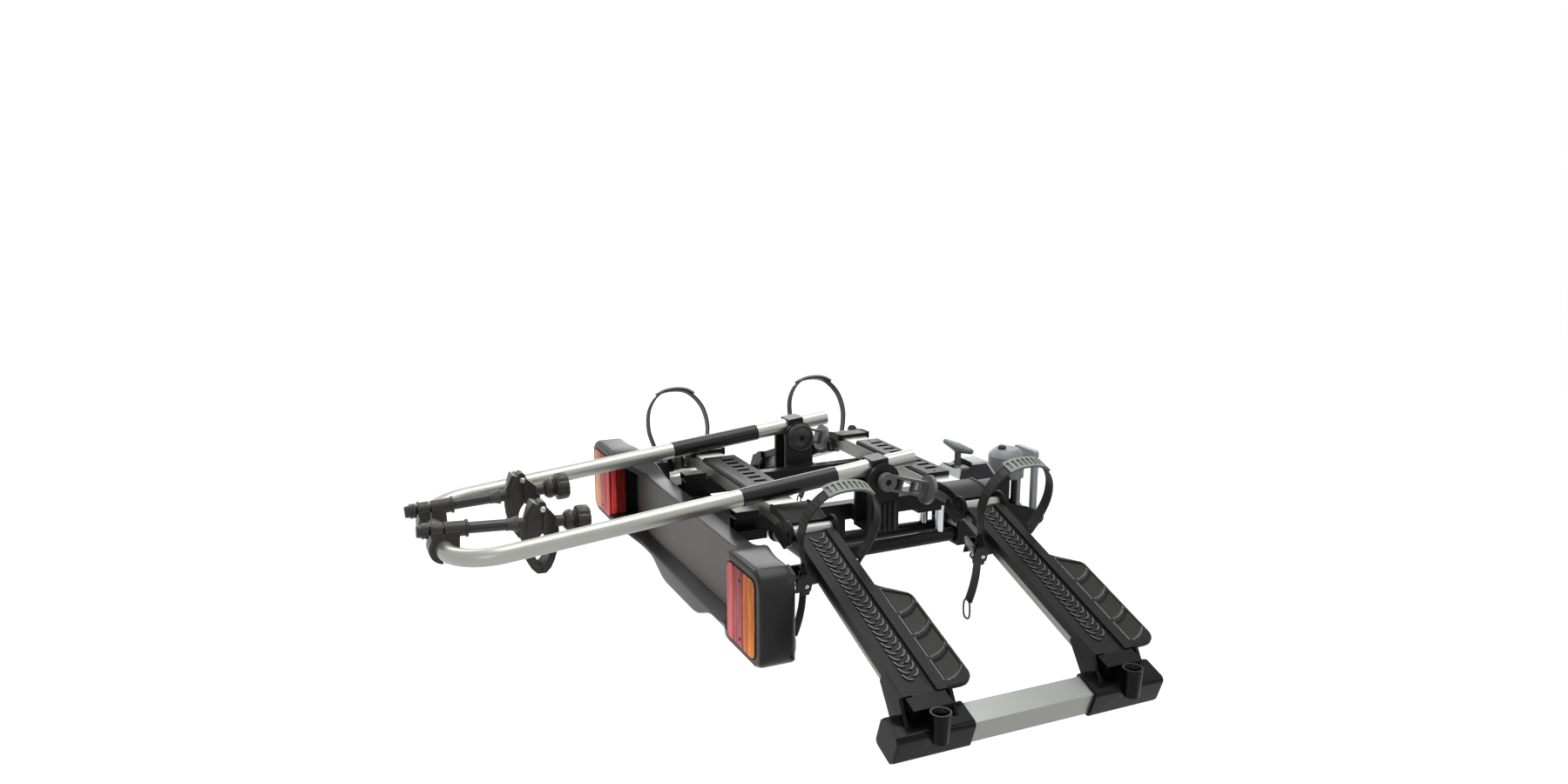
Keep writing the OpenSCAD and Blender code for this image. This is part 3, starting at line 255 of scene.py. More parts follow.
def dressed(node, material, edge=0.0008, segments=2, paint=None):
    """The CAD node's own shape, merged, with rounded edges and a finish."""
    shape = merged(node)
    flatten(shape)
    materials = [material]
    if paint:
        chosen, other = paint
        materials.append(other)
        for face in shape.faces:
            if chosen(face.calc_center_median(), face.normal):
                face.material_index = 1
    piece = keep(shape, node + "_dressed", materials, body_of(node), merge=False)
    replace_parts(soften(piece, edge, segments), node)


powder_black = finish("powder_coat_black", (0.011, 0.011, 0.0115), 0.34, mottle=0.15,
                      grain=1500.0, dent=0.2, specular=0.12)
for node in ("chassis_tubes", "tilt_cross_tube"):
    dressed(node, powder_black)


# Coupling frame: two pressed cheeks with a floor and a bridge between them,
# and the saddle that holds the ball cup. Black coated steel.
dressed("coupling_frame", powder_black, edge=0.0012)


# Ball cup and its jaw: painted castings that close round the tow ball. The jaw
# slides on two guide pins, and the key lock sits in the top of the cup.
cast_grey = finish("painted_casting", (0.25, 0.262, 0.268), 0.42, mottle=0.16, grain=500.0,
                   dent=0.35)
zinc = finish("zinc_plate", (0.62, 0.63, 0.64), 0.3, metal=1.0, mottle=0.12, grain=1200.0,
              dent=0.08)
dressed("ball_cup", cast_grey, edge=0.0015, segments=3)
dressed("ball_jaw", cast_grey, edge=0.001)
lock_dark = finish("lock_dark", (0.035, 0.035, 0.036), 0.3, metal=0.5, dent=0.1, mottle=0.12)
dressed("lock_barrel", lock_dark, edge=0.0005)


# Coupling hood with its T handle, and the clamp lever: grey moulded nylon. The
# handle's stem stands in an oval recess in the hood, which holds the catch's box and
# slide; the recess's inside is painted near black as painted shade.
HANDLE_Y = -0.122
RECESS_HALF = 0.017
RECESS_ROUND = 0.0203
RECESS_FLOOR = 0.015
UPWARD = 0.9
CATCH_BLOCKS = (((0.006, -0.013, 0.0045), (0.031, 0.012, 0.0125)),
                ((-0.032, -0.010, 0.0045), (-0.012, 0.010, 0.0095)))


# faces inside the hood's recess, which get the painted shade
def in_recess(at, normal):
    off = math.hypot(max(0.0, abs(at.x) - RECESS_HALF), at.y - HANDLE_Y)
    return off < RECESS_ROUND and at.z > 0 and (normal.z < UPWARD or at.z < RECESS_FLOOR)


def block(shape, middle, size, place=Matrix()):
    """A block, given by its middle and size. Its corners are returned."""
    return bmesh.ops.create_cube(shape, size=1, matrix=place @ Matrix.Translation(middle)
                                 @ Matrix.Diagonal((*size, 1)))["verts"]


coupling_grey = finish("coupling_grey", (0.40, 0.418, 0.445), 0.38, mottle=0.06, grain=1800.0)
handle_grey = finish("handle_grey", (0.17, 0.175, 0.175), 0.38, mottle=0.08, grain=1500.0,
                     specular=0.3)
# painted shade: the inside of the hood's recess is painted near black
recess_shade = finish("recess_shade", (0.010, 0.010, 0.011), 0.45, mottle=0.15, grain=1400.0,
                      specular=0.2)
dressed("coupling_hood", coupling_grey, edge=0.0015, segments=3,
        paint=(in_recess, recess_shade))
dressed("release_handle", handle_grey, edge=0.0035, segments=4)
catch = bmesh.new()
for low, high in CATCH_BLOCKS:
    block(catch, (Vector(low) + Vector(high)) / 2, Vector(high) - Vector(low),
          Matrix.Translation((0, HANDLE_Y, 0)))
soften(keep(catch, "recess_catch", [handle_grey], body_of("coupling_hood")),
       0.0012)
dressed("clamp_lever", coupling_grey, edge=0.0015, segments=3)


# Rest posts: two zinc plated pins on the chassis tubes, under the platform's
# tongue.
dressed("rest_posts", zinc)


# Platform: two black box bars along the car with a deck plate behind, boxes
# that carry the light board, with a painted highlight of paler metal on top, ears
# for the tilt axle and a tongue at the front. Welded steel, powder coated.
LIT_TOP_FACING = 0.8
for node in ("side_bars", "tilt_ears", "rear_deck", "latch_tongue"):
    dressed(node, powder_black, edge=0.001)
# painted highlight: the boxes' upward faces get a paler metal, for the light on their tops
box_top_highlight = finish("box_top_highlight", (0.105, 0.105, 0.10), 0.40, metal=0.6, mottle=0.12,
                    grain=800.0, dent=0.1)
dressed("board_boxes", powder_black,
        paint=(lambda at, normal: normal.z > LIT_TOP_FACING, box_top_highlight))


# Cross rails: extruded aluminium box sections, bent down at both ends, with
# slotted black covers over the middle.
satin_silver = finish("satin_aluminium", (0.41, 0.413, 0.395), 0.36, metal=0.8, mottle=0.05,
                      dent=0.05, stretch=(0.06, 1.0, 1.0), smear=0.07)
cover_black = finish("cover_black", (0.013, 0.0125, 0.012), 0.38, mottle=0.12, grain=1400.0,
                     dent=0.2, specular=0.12)
for node in ("rear_rail", "front_rail"):
    dressed(node, satin_silver, edge=0.002, segments=3)
for node in ("rear_rail_cover", "front_rail_cover", "inner_trays"):
    dressed(node, cover_black, edge=0.001)


# Fold brackets: black steel cheeks either side of the rail's end, with a pin
# through them on which the tray arm turns.
for side in ("right", "left"):
    dressed("fold_brackets_" + side, powder_black, edge=0.001)


# Light board: one long moulded shell with a deep pod for a lamp at each end, a
# dropped skirt in the middle and a flat panel for the number plate. Its shoulders
# sweep up and back into the pods, and every rim is well rounded.
BOARD_HALF = 0.470
BOARD_REAR = -0.715
BOARD_FRONT = -0.680
MIDDLE_TOP = -0.009
SKIRT_LOW = -0.177
SKIRT_RISE = 0.028
SKIRT_LEAN = 0.024
POD_BACK = -0.771
POD_FRONT = -0.711
POD_TOP = 0.031
POD_RISE = 0.021
POD_ROUND = 0.030
TOP_ROUND = 0.038
SIDE_ROUND = 0.011
RIM_WIDTH = 0.024
RIM_HIGH = 0.012
PANEL_TOP = -0.012
PANEL_LOW = -0.1330
PANEL_LOW_RISE = 0.0212
PANEL_SUNK = 0.0003
PANEL_LIP = 0.008
HOLLOW_FRONT = -0.708
HOLLOW_TOP = -0.017
LENS_AT = 0.322
LENS_OUTER = 0.4405
LENS_TOP = 0.008
LENS_LOW = -0.110
LENS_DROP = 0.0106
# from where, and over what length, something changes along the board
SHOULDER = (0.212, 0.368 - 0.212)
SKIRT_END = (0.078, 0.100)
SWEEP = (0.215, 0.125)
TOP_SWEEP = (0.232, 0.110)
FRONT_SWEEP = (0.255, 0.150)
LENS_EDGE = (LENS_AT, 0.023)
# a size in the middle, and how much it grows up to the pods
BASE = (-0.133, 0.020)
HOLLOW_LOW = (-0.125, 0.03)
FRONT_SOFT = (0.003, 0.008)
REAR_SOFT = (0.0028, 0.0085)
FOOT_SOFT = 0.004
ROOF_SOFT = 0.0015
SILL_SOFT = 0.003
LOW_SOFT = 0.002
RIM_FACING = -0.96
RIM_DEPTH = 0.002
# where the outline is drawn: even steps in the middle, closer ones on the
# shoulder, and both sides of each edge of the lens
MIDDLE_STATIONS = [0.012 + 0.0226 * i for i in range(10)]
SHOULDER_STATIONS = [0.222 + 0.005 * i for i in range(20)]
LENS_STATIONS = [0.3218, 0.3222, 0.327, 0.332, 0.337, 0.341, 0.345, 0.36, 0.38, 0.40, 0.42,
                 0.4400, 0.4410]
Y_ACROSS = Matrix(((0, 1, 0), (1, 0, 0), (0, 0, 1))).to_4x4()


def carry(shape, profiles, frames, place, closed=False):
    """Carries a drawn outline along frames by extruding its end face. The outline
    is one list of points, or a list with one such list for every frame."""
    if not isinstance(profiles[0][0], (list, tuple)):
        profiles = [profiles] * len(frames)
    first = face = None
    for here, profile in zip(frames, profiles):
        if face is None:
            first = [shape.verts.new(place @ here @ Vector((q[0], 0, q[1]))) for q in profile]
            face = shape.faces.new(first)
        else:
            grown = bmesh.ops.extrude_face_region(shape, geom=[face])["geom"]
            if face.is_valid:
                shape.faces.remove(face)
            face = [g for g in grown if isinstance(g, bmesh.types.BMFace)][0]
            for vert, q in zip(face.verts, profile):
                vert.co = place @ here @ Vector((q[0], 0, q[1]))
    if closed:
        shape.faces.remove(face)
    else:
        shape.faces.new(list(reversed(first)))


def ease(t):
    t = max(0.0, min(1.0, t))
    return t * t * (3 - 2 * t)


def rounded(outline, radii, steps=4, most=0.45):
    """An outline with the corners that radii names turned into arcs. An arc takes
    at most a share of the sides that it joins."""
    out = []
    for i, corner in enumerate(outline):
        if i not in radii:
            out.append(tuple(corner))
            continue
        here = Vector(corner)
        back = Vector(outline[i - 1]) - here
        on = Vector(outline[(i + 1) % len(outline)]) - here
        r = min(radii[i], most * back.length, most * on.length)
        start, end = here + back.normalized() * r, here + on.normalized() * r
        for k in range(steps + 1):
            t = k / steps
            out.append(tuple((1 - t) ** 2 * start + 2 * t * (1 - t) * here + t * t * end))
    return out


def curved_in(x, radius):
    """How far a rim with that radius has curved in, near the board's end."""
    end = x - BOARD_HALF + radius
    return radius - math.sqrt(max(0.0, radius ** 2 - end ** 2)) if end > 0 else 0.0


def board_outline(x):
    """The shell's outline across the board, as (Y, Z) points, at a distance from
    its middle."""
    x = abs(x)
    rise, skirt, sweep, top_sweep, front_sweep, lens = (
        ease((x - start) / length) for start, length in (
            SHOULDER, SKIRT_END, SWEEP, TOP_SWEEP, FRONT_SWEEP, LENS_EDGE))
    base, hollow_low, front_soft, rear_soft = (
        middle + growth * rise for middle, growth in (BASE, HOLLOW_LOW, FRONT_SOFT, REAR_SOFT))
    top = MIDDLE_TOP + rise * (POD_TOP - MIDDLE_TOP)
    low = SKIRT_LOW + SKIRT_RISE * skirt + POD_RISE * sweep
    rear_top = BOARD_REAR - top_sweep * (BOARD_REAR - POD_BACK)
    rear_low = BOARD_REAR - SKIRT_LEAN - sweep * (BOARD_REAR - SKIRT_LEAN - POD_BACK)
    front = BOARD_FRONT - front_sweep * (BOARD_FRONT - POD_FRONT)
    roof = max(PANEL_TOP, top - RIM_HIGH - LENS_DROP * lens)
    sill = PANEL_LOW + PANEL_LOW_RISE * sweep
    inner = BOARD_REAR + PANEL_SUNK
    top -= curved_in(x, TOP_ROUND)
    low += curved_in(x, POD_ROUND)
    rear_top += curved_in(x, SIDE_ROUND)
    rear_low += curved_in(x, SIDE_ROUND)
    front -= curved_in(x, SIDE_ROUND)
    hollow = HOLLOW_FRONT if x < LENS_AT else front
    foot = front if x > BOARD_HALF - SIDE_ROUND else POD_FRONT
    if x > LENS_OUTER:
        roof, sill, inner = top - RIM_WIDTH, low + RIM_WIDTH, rear_top
    points = [(foot, low), (foot, base), (front, base), (front, hollow_low),
              (hollow, hollow_low), (hollow, HOLLOW_TOP), (front, HOLLOW_TOP), (front, top),
              (rear_top, top), (rear_top, roof), (inner, roof), (inner, sill),
              (rear_low, sill - PANEL_LIP * (1 - sweep)), (rear_low, low)]
    return rounded(points, {0: FOOT_SOFT, 7: front_soft, 8: rear_soft, 9: ROOF_SOFT,
                            12: SILL_SOFT, 13: rear_soft + LOW_SOFT})


board_grey = finish("board_shell", (0.027, 0.0265, 0.026), 0.29, mottle=0.08, grain=1600.0,
                    dent=0.1, specular=0.2)
# painted light: the pods' rear-facing rims are painted a paler warm grey than the shell
lit_rim_grey = finish("board_rear_rims_painted_light", (0.060, 0.056, 0.050), 0.4, mottle=0.06, grain=1600.0,
                  specular=0.2)
panel_grey = finish("number_panel", (0.118, 0.110, 0.104), 0.5, mottle=0.05, grain=1800.0,
                    dent=0.1)
end_stations = [BOARD_HALF - TOP_ROUND + TOP_ROUND * math.sin(math.radians(5 * i))
                for i in range(2, 19)]
halves = sorted(set(round(x, 5) for x in (*MIDDLE_STATIONS, *SHOULDER_STATIONS,
                                          *LENS_STATIONS, *end_stations)))
sections = [-x for x in reversed(halves)] + halves
board = bmesh.new()
carry(board, [board_outline(x) for x in sections],
      [Matrix.Translation((x, 0, 0)) @ Y_ACROSS for x in sections], Matrix())
board_piece = keep(board, "light_board_shell", [board_grey, lit_rim_grey], "platform")
# rear-facing faces at the pods' backs take the paler painted light
for face in board_piece.data.polygons:
    if face.normal.y < RIM_FACING and face.center.y < POD_BACK + RIM_DEPTH:
        face.material_index = 1
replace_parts(board_piece, "light_board")
dressed("number_panel", panel_grey, edge=0.0006)


# Rear lamps: a black base in each pod, and a red lens that shows at the rear and
# at the pod's inner side. Its zones are pressed into the plastic: pale red near
# the plate, a clear red strip, the reflector, and the orange indicator outside.
LAMP_ZONES = [(0.337, (0.74, 0.060, 0.060)), (0.350, (0.92, 0.110, 0.105)),
              (0.3618, (0.84, 0.070, 0.075)), (0.3628, (0.10, 0.002, 0.006)),
              (0.3668, (0.14, 0.002, 0.008)), (0.3678, (0.70, 0.018, 0.028)),
              (0.3752, (0.76, 0.028, 0.038)), (0.3758, (0.07, 0.001, 0.004)),
              (0.3772, (0.07, 0.001, 0.004)), (0.3780, (0.56, 0.070, 0.075)),
              (0.3880, (0.40, 0.085, 0.085)), (0.3985, (0.64, 0.045, 0.050)),
              (0.3995, (0.12, 0.002, 0.004)), (0.4030, (0.20, 0.004, 0.002)),
              (0.4042, (0.86, 0.170, 0.040)), (0.4165, (0.90, 0.230, 0.050)),
              (0.4172, (0.24, 0.050, 0.004)), (0.4192, (0.24, 0.050, 0.004)),
              (0.4202, (0.98, 0.260, 0.022)), (0.4470, (0.84, 0.250, 0.055))]
ZONES_FROM = 0.337
ZONES_LENGTH = 0.110
# painted glow: the lens emits its own zone colours, standing in for the reflector's light
LENS_PAINTED_GLOW = 0.40
# a value's start and end, and what it becomes there
# painted shade: the lens darker towards its top, and nearly black at the front of its inner side
LENS_TOP_SHADE = (LENS_LOW, LENS_TOP, 1.05, 0.62)
LENS_SIDE_SHADE = (POD_BACK + 0.010, POD_BACK + 0.014, 1.0, 0.16)
LENS_STREAKS = (0.3, 0.7, 0.6, 1.35)
STREAK_SCALE = 60.0
STREAK_STRETCH = (6.0, 4.0, 0.35)
RIB_SCALE = 130.0
RIB_DENT = 0.25
# lowest corner, highest corner, radius of the corners and of the rear rim
LENS_BODY = ((0.337, POD_BACK, LENS_LOW), (0.440, -0.7375, LENS_TOP), 0.010, 0.002)
LENS_FACE = ((0.3365, -0.7735, -0.1145), (0.4465, -0.7705, 0.0125), 0.013, 0.0012)
GASKET = ((0.3345, -0.7722, -0.1170), (0.4485, -0.7704, 0.0150), 0.015, 0)
LAMP_SCREW = [(0, -0.0006), (0.0012, -0.0006), (0.0016, 0.0004), (0.0028, 0.0002),
              (0.0032, -0.0012), (0, -0.0012)]
LAMP_SCREW_PLACES = ((0.390, -0.7737, -0.004), (0.390, -0.7737, -0.101))


def spread(tree, value, start, end, low, high):
    """Carries a value from one range to another."""
    return add(tree, "ShaderNodeMapRange", {
        "From Min": start, "From Max": end, "To Min": low, "To Max": high,
        "Value": value}).outputs["Result"]


def product(tree, one, other):
    return add(tree, "ShaderNodeMath", {0: one, 1: other}, operation="MULTIPLY").outputs[0]


def lens_finish():
    """Coloured zones across the lens, with painted shade darker towards the top and
    nearly black at the front of its inner side, streaked and ribbed, with a painted glow."""
    material = bpy.data.materials.new("lamp_lens")
    material.use_nodes = True
    tree = material.node_tree
    place = tree.nodes.new("ShaderNodeTexCoord").outputs["Object"]
    apart = add(tree, "ShaderNodeSeparateXYZ", {"Vector": place}).outputs
    out = add(tree, "ShaderNodeMath", {0: apart["X"]}, operation="ABSOLUTE").outputs[0]
    zones = add(tree, "ShaderNodeValToRGB", {
        "Fac": spread(tree, out, ZONES_FROM, ZONES_FROM + ZONES_LENGTH, 0, 1)})
    stops = zones.color_ramp.elements
    for i, (at, colour) in enumerate(LAMP_ZONES):
        spot = (at - ZONES_FROM) / ZONES_LENGTH
        stop = stops[i] if i < 2 else stops.new(spot)
        stop.position = spot
        stop.color = (*colour, 1)
    height = spread(tree, apart["Z"], *LENS_TOP_SHADE)
    depth = spread(tree, apart["Y"], *LENS_SIDE_SHADE)
    stretch = add(tree, "ShaderNodeMapping", {"Scale": STREAK_STRETCH, "Vector": place})
    streaks = add(tree, "ShaderNodeTexNoise", {
        "Scale": STREAK_SCALE, "Vector": stretch.outputs["Vector"]})
    streaky = spread(tree, streaks.outputs["Fac"], *LENS_STREAKS)
    shade = add(tree, "ShaderNodeVectorMath", {
        0: zones.outputs["Color"], "Scale": product(tree, product(tree, height, depth), streaky)
    }, operation="SCALE").outputs["Vector"]
    ribs = add(tree, "ShaderNodeTexWave", {"Scale": RIB_SCALE, "Vector": place})
    relief = add(tree, "ShaderNodeBump", {
        "Strength": RIB_DENT, "Distance": RELIEF_DEPTH, "Height": ribs.outputs["Fac"]})
    # the emission is a painted glow, not a lamp
    feed(tree, tree.nodes["Principled BSDF"], {
        "Roughness": 0.18, "Specular IOR Level": 0.05, "Coat Weight": 0.03,
        "Coat Roughness": 0.05, "Emission Strength": LENS_PAINTED_GLOW, "Base Color": shade,
        "Emission Color": shade, "Normal": relief.outputs["Normal"]})
    return material


def turned(shape, profile, place, steps=24):
    """Spins an outline of (radius, height) pairs round the place's Z axis."""
    before = set(shape.verts)
    chain = [shape.verts.new(place @ Vector((r, 0, z))) for r, z in profile]
    edges = [shape.edges.new(pair) for pair in zip(chain, chain[1:])]
    bmesh.ops.spin(shape, geom=chain + edges, cent=place.to_translation(),
                   axis=place.to_3x3() @ Vector((0, 0, 1)), angle=2 * math.pi, steps=steps,
                   use_merge=True)
    bmesh.ops.remove_doubles(shape, verts=[v for v in shape.verts if v not in before],
                             dist=PIECE_GAP)


def slab(shape, low, high, corner, rim):
    """A block whose four edges along Y are rounded, and then its rear rim."""
    low, high = Vector(low), Vector(high)
    size = high - low
    made = block(shape, (low + high) / 2, size)
    along = [e for v in made for e in v.link_edges
             if abs(e.verts[0].co.y - e.verts[1].co.y) > size.y / 2]
    bmesh.ops.bevel(shape, geom=list(set(along)), offset=corner, segments=6, profile=0.5,
                    affect="EDGES", material=-1)
    if rim:
        edges = [e for e in shape.edges
                 if all(abs(v.co.y - low.y) < PIECE_GAP for v in e.verts)
                 and all(low.x - PIECE_GAP < v.co.x < high.x + PIECE_GAP for v in e.verts)]
        bmesh.ops.bevel(shape, geom=edges, offset=rim, segments=3, profile=0.5,
                        affect="EDGES", material=-1)


lens_plastic = lens_finish()
gasket_black = finish("gasket_black", (0.008, 0.008, 0.008), 0.6, mottle=0.2, specular=0.1)
for side in ("right", "left"):
    lens, gasket, screws = bmesh.new(), bmesh.new(), bmesh.new()
    slab(lens, *LENS_BODY)
    slab(lens, *LENS_FACE)
    slab(gasket, *GASKET)
    for place in LAMP_SCREW_PLACES:
        turned(screws, LAMP_SCREW, Matrix.Translation(place)
               @ Matrix.Rotation(math.radians(90), 4, "X"), 12)
    if side == "left":
        for shape in (lens, gasket, screws):
            bmesh.ops.scale(shape, vec=(-1, 1, 1), verts=shape.verts)
            bmesh.ops.reverse_faces(shape, faces=shape.faces)
    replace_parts(keep(lens, "lamp_lens_%s_plastic" % side, [lens_plastic], "platform"),
                "lamp_lens_" + side)
    keep(gasket, "lamp_gasket_" + side, [gasket_black], "platform")
    keep(screws, "lamp_screws_" + side, [gasket_black], "platform")
dressed("lamp_bases", gasket_black)


# Mast brackets: moulded black housings bolted to the outside of the bars, with
# round caps over the pivot bolts, each with a raised ring and a hexagon socket
# on its inner face. The release levers are grey and swing on the same bolts.
CAP_FACE = 0.138
PIVOT_Y = -0.415
PIVOT_Z = 0.067
CAP_RING = [(0.0238, -0.0008), (0.0238, 0), (0.0244, 0.0005), (0.0262, 0.0005), (0.0268, 0),
            (0.0268, -0.0008), (0.0238, -0.0008)]
CAP_SOCKET = [(0, 0.0003), (0.0032, 0.0003), (0.0034, 0.0012), (0.0052, 0.0012),
              (0.0060, -0.0008), (0, -0.0008)]
moulded_black = finish("moulded_black", (0.023, 0.022, 0.0215), 0.36, mottle=0.12,
                       grain=1400.0, dent=0.2, specular=0.18)
dressed("mast_brackets", moulded_black, edge=0.0015, segments=3)
cap_grey = finish("pivot_cap_grey", (0.040, 0.040, 0.042), 0.3, dent=0.1, specular=0.35)
dressed("pivot_caps", cap_grey, edge=0.0015, segments=3)
lever_grey = finish("lever_grey", (0.16, 0.165, 0.16), 0.36, mottle=0.08, grain=1500.0,
                    dent=0.15)
for name, profile, steps, material in (("pivot_cap_rings", CAP_RING, 40, cap_grey),
                                       ("pivot_cap_sockets", CAP_SOCKET, 6, gasket_black)):
    shape = bmesh.new()
    for turn in (90, -90):
        turned(shape, profile, Matrix.Translation((-math.copysign(CAP_FACE, turn), PIVOT_Y,
                                                   PIVOT_Z))
               @ Matrix.Rotation(math.radians(turn), 4, "Y"), steps)
    keep(shape, name, [material], body_of("pivot_caps"))
for side in ("right", "left"):
    dressed("release_lever_" + side, lever_grey, edge=0.001)


# Mast: one length of aluminium tube bent to a U, anodised a warm grey, with a
# black sleeve on each leg and a moulded foot at each pivot.
mast_silver = finish("mast_anodised", (0.385, 0.390, 0.358), 0.35, metal=0.8, mottle=0.04,
                     dent=0.02, stretch=(1.0, 0.06, 1.0), smear=0.06)
dressed("mast_tube", mast_silver, edge=0.0006)
sleeve_black = finish("sleeve_black", (0.009, 0.009, 0.0095), 0.3, grain=1200.0, dent=0.06,
                      specular=0.3, smear=0.03)
dressed("mast_sleeves", sleeve_black, edge=0.0003)
dressed("mast_feet", moulded_black, edge=0.0015)


# Frame clamps: a band in two halves round the mast's arch, a rod, and a head of
# two leaf-shaped jaws that a fluted knob pulls together. Glossy black mouldings;
# each fixed jaw has a raised bead and a socket screw where the jaws are hinged.
CLAMP_PLACES = (("right", 0.075, -3), ("left", -0.056, 3))
CLAMP_Y = -1.17314
CLAMP_Z = 0.00944
ROD_HEIGHT = 0.029
JAW_MIDDLE = 0.161
LEAF_RADIUS = 0.03925
LEAF_INSET = 0.0213
BEAD_RADIUS = 0.0012
BEAD = [(-0.052, 0.0062), (-0.044, 0.0110), (-0.032, 0.0158), (-0.018, 0.0190),
        (-0.003, 0.0207), (0.012, 0.0212), (0.027, 0.0206), (0.041, 0.0186), (0.053, 0.0150),
        (0.062, 0.0105), (0.0665, 0.0060)]
COLLAR = [(0.0085, 0.1030), (0.0108, 0.1034), (0.0110, 0.1060), (0.0104, 0.1068),
          (0.0108, 0.1110), (0.0122, 0.1160), (0.0140, 0.1212), (0.0085, 0.1212),
          (0.0085, 0.1030)]
SLEEVE = [(0.0070, 0.0420), (0.0098, 0.0420), (0.0098, 0.1034), (0.0070, 0.1034),
          (0.0070, 0.0420)]
CAP_RIBS = (-0.0290, -0.0338)
CAP_RIB = [(0.0122, 0), (0.0132, 0), (0.0137, 0.0008), (0.0137, 0.0020), (0.0132, 0.0028),
           (0.0122, 0.0028), (0.0122, 0)]
HINGE_SCREW_X = 0.0182
HINGE_SCREW_Z = 0.0565
SOCKET_SCREW = [(0, 0.0004), (0.0021, 0.0004), (0.0023, 0.0024), (0.0044, 0.0022),
                (0.0052, 0.0006), (0.0052, -0.001), (0, -0.001)]
SPLITS = ((0.0215, 0.0500), (-0.0565, -0.0470))
SPLIT_LONG = 0.0366
SPLIT_WIDE = 0.0016
KNOB_SIDES = 84
KNOB_FLUTES = 7
FLUTE_DEPTH = 0.0021
KNOB = [  # place along the rod, radius, share of the flutes' depth
    (0.1785, 0.0050, 0), (0.2000, 0.0050, 0), (0.2003, 0.0110, 0), (0.2030, 0.0150, 0),
    (0.2070, 0.0178, 0), (0.2115, 0.0187, 0), (0.2160, 0.0176, 0), (0.2192, 0.0150, 0),
    (0.2208, 0.0150, 0), (0.2212, 0.0200, 0.2), (0.2228, 0.0232, 0.7), (0.2250, 0.0243, 1),
    (0.2262, 0.0238, 1), (0.2272, 0.0243, 1), (0.2400, 0.0243, 1), (0.2412, 0.0236, 1),
    (0.2432, 0.0236, 1), (0.2440, 0.0224, 1), (0.2453, 0.0205, 0.6), (0.2455, 0.0150, 0)]


def knob_outline(radius, flute):
    points = []
    for k in range(KNOB_SIDES):
        a = math.radians(360 * k / KNOB_SIDES)
        r = radius - flute * FLUTE_DEPTH * max(0.0, math.cos(KNOB_FLUTES * a)) ** 3
        points.append((r * math.sin(a), r * math.cos(a)))
    return points


def strut(shape, start, end, radius, steps=12):
    """A round bar between two points."""
    line = end - start
    place = (Matrix.Translation((start + end) / 2)
             @ line.to_track_quat("Z", "Y").to_matrix().to_4x4())
    bmesh.ops.create_cone(shape, cap_ends=True, segments=steps, radius1=radius, radius2=radius,
                          depth=line.length, matrix=place)


cap_black = finish("glossy_black", (0.022, 0.021, 0.0215), 0.24, mottle=0.12, specular=0.42)
clamp_black = finish("clamp_plastic", (0.046, 0.044, 0.040), 0.35, mottle=0.12, grain=1300.0,
                     specular=0.3)
# painted highlight: the jaws' beads and the rod's collar are painted a paler grey for the light
# lines along them
bead_highlight_grey = finish("clamp_bead", (0.085, 0.083, 0.078), 0.36, grain=1300.0, dent=0.1,
                   specular=0.3)
for side, at, tilt in CLAMP_PLACES:
    place = (Matrix.Translation((at, CLAMP_Y, CLAMP_Z))
             @ Matrix.Rotation(math.radians(tilt), 4, "X"))
    rod = (place @ Matrix.Translation((0, 0, ROD_HEIGHT))
           @ Matrix.Rotation(math.radians(-90), 4, "X"))
    jaw_body = body_of("fixed_jaw_" + side)
    dressed("clamp_band_" + side, clamp_black, edge=0.0022, segments=3)
    dressed("clamp_rod_" + side, cap_black, edge=0.0015, segments=3)
    dressed("fixed_jaw_" + side, clamp_black, edge=0.0012)
    dressed("moving_jaw_" + side, clamp_black, edge=0.0012)

    knob = bmesh.new()
    carry(knob, [knob_outline(radius, flute) for along, radius, flute in KNOB],
          [Matrix.Translation((0, along, ROD_HEIGHT)) for along, radius, flute in KNOB], place)
    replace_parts(keep(knob, "clamp_knob_%s_fluted" % side, [clamp_black],
                     body_of("clamp_knob_" + side)), "clamp_knob_" + side)

    # beads and collar carry the painted highlight
    beads = bmesh.new()
    for flip in (1, -1):
        points = [place @ Vector((flip * (math.sqrt(LEAF_RADIUS ** 2 - out * out) - LEAF_INSET),
                                  JAW_MIDDLE - out, z)) for z, out in BEAD]
        for start, end in zip(points, points[1:]):
            strut(beads, start, end, BEAD_RADIUS, 8)
    turned(beads, COLLAR, rod)
    keep(beads, "clamp_beads_" + side, [bead_highlight_grey], jaw_body)

    sleeve = bmesh.new()
    turned(sleeve, SLEEVE, rod)
    for low in CAP_RIBS:
        turned(sleeve, [(r, low + z) for r, z in CAP_RIB], rod, 32)
    keep(sleeve, "clamp_sleeve_" + side, [cap_black], body_of("clamp_rod_" + side))

    pins = bmesh.new()
    for turn in (90, -90):
        turned(pins, SOCKET_SCREW, place @ Matrix.Translation((
            math.copysign(HINGE_SCREW_X, turn), JAW_MIDDLE, HINGE_SCREW_Z))
            @ Matrix.Rotation(math.radians(turn), 4, "Y"), 16)
    keep(pins, "clamp_screws_" + side, [zinc], jaw_body)

    split = bmesh.new()
    for low, high in SPLITS:
        block(split, (0, JAW_MIDDLE, (low + high) / 2), (SPLIT_LONG, SPLIT_WIDE, high - low),
              place)
    keep(split, "clamp_split_" + side, [gasket_black], jaw_body)


